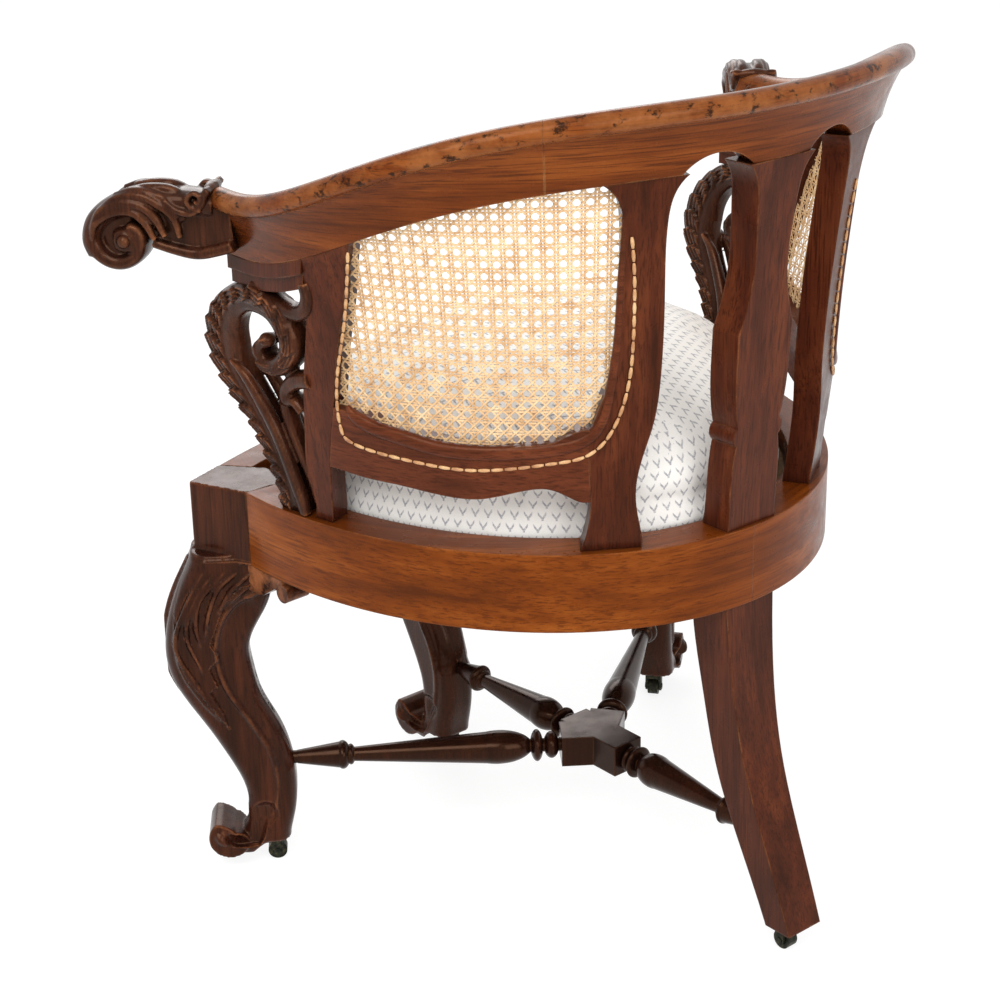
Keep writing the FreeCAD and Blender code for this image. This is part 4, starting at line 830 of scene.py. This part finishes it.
STITCH_LINE = [(73.5, 646), (76.5, 585), (80.2, 527), (80.7, 487), (78, 473), (66, 466), (54, 463), (41, 470),
               (33, 478), (28.5, 502), (26, 545), (25.6, 610), (26.3, 658), (27.2, 670)]
STITCH_LENGTH, STITCH_GAP = 9.8, 1.2
binding = Carving()
line, outs = on_back(STITCH_LINE, 400, -0.4)
travelled = np.concatenate([[0.0], np.cumsum(np.linalg.norm(np.diff(line, axis=0), axis=1))])
for begin in np.arange(0.0, travelled[-1] - STITCH_LENGTH, STITCH_LENGTH + STITCH_GAP):
    along = np.linspace(begin, begin + STITCH_LENGTH, 7)
    stitch = np.stack([np.interp(along, travelled, line[:, axis]) for axis in range(3)], axis=1)
    ways = np.stack([np.interp(along, travelled, outs[:, axis]) for axis in range(3)], axis=1)
    binding.band(stitch, (1.0, 1.5, 1.6, 1.5, 1.0), (0.6, 1.1, 1.2, 1.1, 0.6), ways, 8)
binder_mesh = binding.mesh("cane_binder_left")
binder_mesh.shade_smooth()
pair_of("cane_binder", binder_mesh, binder, None)

# The cushion: a stuffed pad let into the rails, blown up as cloth and kept within its seat
CUSHION_START = 0.985
CUSHION_VOXEL = 6.0 * MM
CUSHION_PRESSURE = 4.0
CUSHION_CAP = 0.022
SEATED_CAP = 0.0006
FRONT_ROLL, FRONT_ROLL_HEIGHT = 0.014, 0.085
FRONT_ROLL_START = -SEAT_SETBACK * MM - 0.015
FRONT_ROLL_EASE, FRONT_ROLL_LIFT = 0.06, 0.003
CROWN_SINK, CROWN_FOOT, CROWN_RISE = 0.008, 0.43, 0.06
SEATED_RISE = 0.03
CLOTH_FRAMES = 20
RAIL_LEVEL = RAIL_TOP * MM


def stuffed_seat():
    cushion = bpy.data.objects.new("seat_pad", nodes["seat_cushion"].data.copy())
    scene.collection.objects.link(cushion)
    skin = cushion.modifiers.new("skin", "REMESH")
    skin.mode = "VOXEL"
    skin.voxel_size = CUSHION_VOXEL
    applied(cushion)
    rest = np.array([vertex.co for vertex in cushion.data.vertices])
    middle = (rest.min(axis=0) + rest.max(axis=0)) / 2
    above = np.clip((rest[:, 2] - RAIL_LEVEL) / SEATED_RISE, 0.0, 1.0)
    share = 1.0 - (1.0 - CUSHION_START) * above[:, None]
    start = rest.copy()
    start[:, :2] = middle[:2] + (rest[:, :2] - middle[:2]) * share
    crown = np.clip((rest[:, 2] - CROWN_FOOT) / CROWN_RISE, 0.0, 1.0)
    start[:, 2] = rest[:, 2] - CROWN_SINK * above * crown
    cushion.data.vertices.foreach_set("co", start.ravel())
    blown = cushion.modifiers.new("blown", "CLOTH")
    blown.settings.use_pressure = True
    blown.settings.uniform_pressure_force = CUSHION_PRESSURE
    blown.settings.effector_weights.gravity = 0.0
    blown.settings.quality = 5
    for number in range(1, CLOTH_FRAMES + 1):
        scene.frame_set(number)
    depsgraph = bpy.context.evaluated_depsgraph_get()
    shaped = cushion.evaluated_get(depsgraph).data
    moved = np.array([vertex.co for vertex in shaped.vertices]) - start
    cushion.modifiers.clear()
    scene.frame_set(1)
    length = np.maximum(np.linalg.norm(moved, axis=1), 1e-9)
    cap = SEATED_CAP + (CUSHION_CAP - SEATED_CAP) * above
    moved *= (np.minimum(length, cap) / length)[:, None]
    shaped_points = start + moved
    shaped_points[:, 2] = np.maximum(shaped_points[:, 2], rest[:, 2].min())
    start = shaped_points
    frontward = np.clip((FRONT_ROLL_START - start[:, 1]) / FRONT_ROLL_EASE, 0.0, 1.0)
    lift = (start[:, 2] - RAIL_LEVEL - FRONT_ROLL_LIFT) / FRONT_ROLL_HEIGHT
    band = np.sin(math.pi * np.clip(lift, 0.0, 1.0))
    away = start[:, :2] - middle[:2]
    away /= np.maximum(np.linalg.norm(away, axis=1, keepdims=True), 1e-6)
    start[:, :2] += away * (FRONT_ROLL * frontward * band)[:, None]
    cushion.data.vertices.foreach_set("co", start.ravel())
    cushion.data.update()
    finer = cushion.modifiers.new("finer", "SUBSURF")
    finer.levels = finer.render_levels = 1
    applied(cushion)
    mesh = cushion.data
    bpy.data.objects.remove(cushion)
    mesh.shade_smooth()
    return mesh


pad = new_piece("seat_pad", stuffed_seat(), cloth, ["seat_cushion"])

# The stage: a pale floor, a white surround, a broad soft key from above and two fills
FLOOR_SIZE = 30.0
FLOOR_GLOW, FLOOR_GLOW_SHARE = 1.14, 0.72
WORLD_LIGHT, WORLD_SEEN = 0.75, 1.0
bpy.ops.mesh.primitive_plane_add(size=FLOOR_SIZE)
floor = bpy.context.object
floor.name = "floor"
pale = Shader("floor")
pale.set(Base_Color=(0.86, 0.86, 0.86), Roughness=0.9)
glow = pale.add("Emission")
glow.inputs["Color"].default_value = (1.0, 1.0, 1.0, 1.0)
glow.inputs["Strength"].default_value = FLOOR_GLOW
seen = pale.add("LightPath")
share = pale.add("MixShader")
direct = pale.math("MAXIMUM", seen.outputs["Is Camera Ray"], seen.outputs["Is Glossy Ray"])
direct = pale.math("MAXIMUM", direct, seen.outputs["Is Transmission Ray"])
pale.join(pale.math("MULTIPLY", direct, FLOOR_GLOW_SHARE), share.inputs[0])
pale.join(pale.surface.outputs[0], share.inputs[1])
pale.join(glow.outputs[0], share.inputs[2])
pale.join(share.outputs[0], pale.tree.nodes["Material Output"].inputs[0])
floor.data.materials.append(pale.material)

world = bpy.data.worlds.new("studio")
scene.world = world
world.use_nodes = True
sky = world.node_tree
background = sky.nodes["Background"]
background.inputs["Color"].default_value = (1.0, 1.0, 1.0, 1.0)
rays = sky.nodes.new("ShaderNodeLightPath")
level = sky.nodes.new("ShaderNodeMix")
level.inputs[2].default_value = WORLD_LIGHT
level.inputs[3].default_value = WORLD_SEEN
either = sky.nodes.new("ShaderNodeMath")
either.operation = "MAXIMUM"
any_ray = sky.nodes.new("ShaderNodeMath")
any_ray.operation = "MAXIMUM"
sky.links.new(rays.outputs["Is Camera Ray"], either.inputs[0])
sky.links.new(rays.outputs["Is Glossy Ray"], either.inputs[1])
sky.links.new(either.outputs[0], any_ray.inputs[0])
sky.links.new(rays.outputs["Is Transmission Ray"], any_ray.inputs[1])
sky.links.new(any_ray.outputs[0], level.inputs[0])
sky.links.new(level.outputs[0], background.inputs["Strength"])


def lamp(name, place, target, width, height, power):
    data = bpy.data.lights.new(name, "AREA")
    data.shape = "RECTANGLE"
    data.size, data.size_y, data.energy = width, height, power
    light = bpy.data.objects.new(name, data)
    scene.collection.objects.link(light)
    light.location = place
    light.rotation_mode = "QUATERNION"
    light.rotation_quaternion = (Vector(target) - Vector(place)).to_track_quat("-Z", "Y")


SEAT_MIDDLE = (0.0, 0.0, 0.45)
lamp("key", (1.8, 1.2, 2.5), SEAT_MIDDLE, 1.8, 1.8, 70.0)
lamp("fill", (0.3, 2.8, 1.3), SEAT_MIDDLE, 1.8, 1.4, 30.0)
lamp("front", (-1.2, -2.2, 1.8), SEAT_MIDDLE, 1.6, 1.2, 20.0)

# The camera, from the photograph's viewpoint
CAMERA_PLACE = Vector((1.2462, 1.3765, 1.1187))
CAMERA_AZIMUTH, CAMERA_PITCH = math.radians(140.1), math.radians(22.57)
CAMERA_ROLL = math.radians(-1.03)
LENS, SENSOR_WIDTH = 79.03, 36.0
camera = bpy.data.objects.new("camera", bpy.data.cameras.new("camera"))
scene.collection.objects.link(camera)
scene.camera = camera
camera.data.sensor_width = SENSOR_WIDTH
camera.data.lens = LENS
level_back = Vector((math.sin(CAMERA_AZIMUTH), -math.cos(CAMERA_AZIMUTH), 0.0)) * math.cos(CAMERA_PITCH)
backward = level_back + Vector((0.0, 0.0, math.sin(CAMERA_PITCH)))
camera.location = CAMERA_PLACE
camera.rotation_mode = "QUATERNION"
camera.rotation_quaternion = (-backward).to_track_quat("-Z", "Y") @ Quaternion((0.0, 0.0, 1.0), CAMERA_ROLL)
scene.view_settings.view_transform = "Standard"
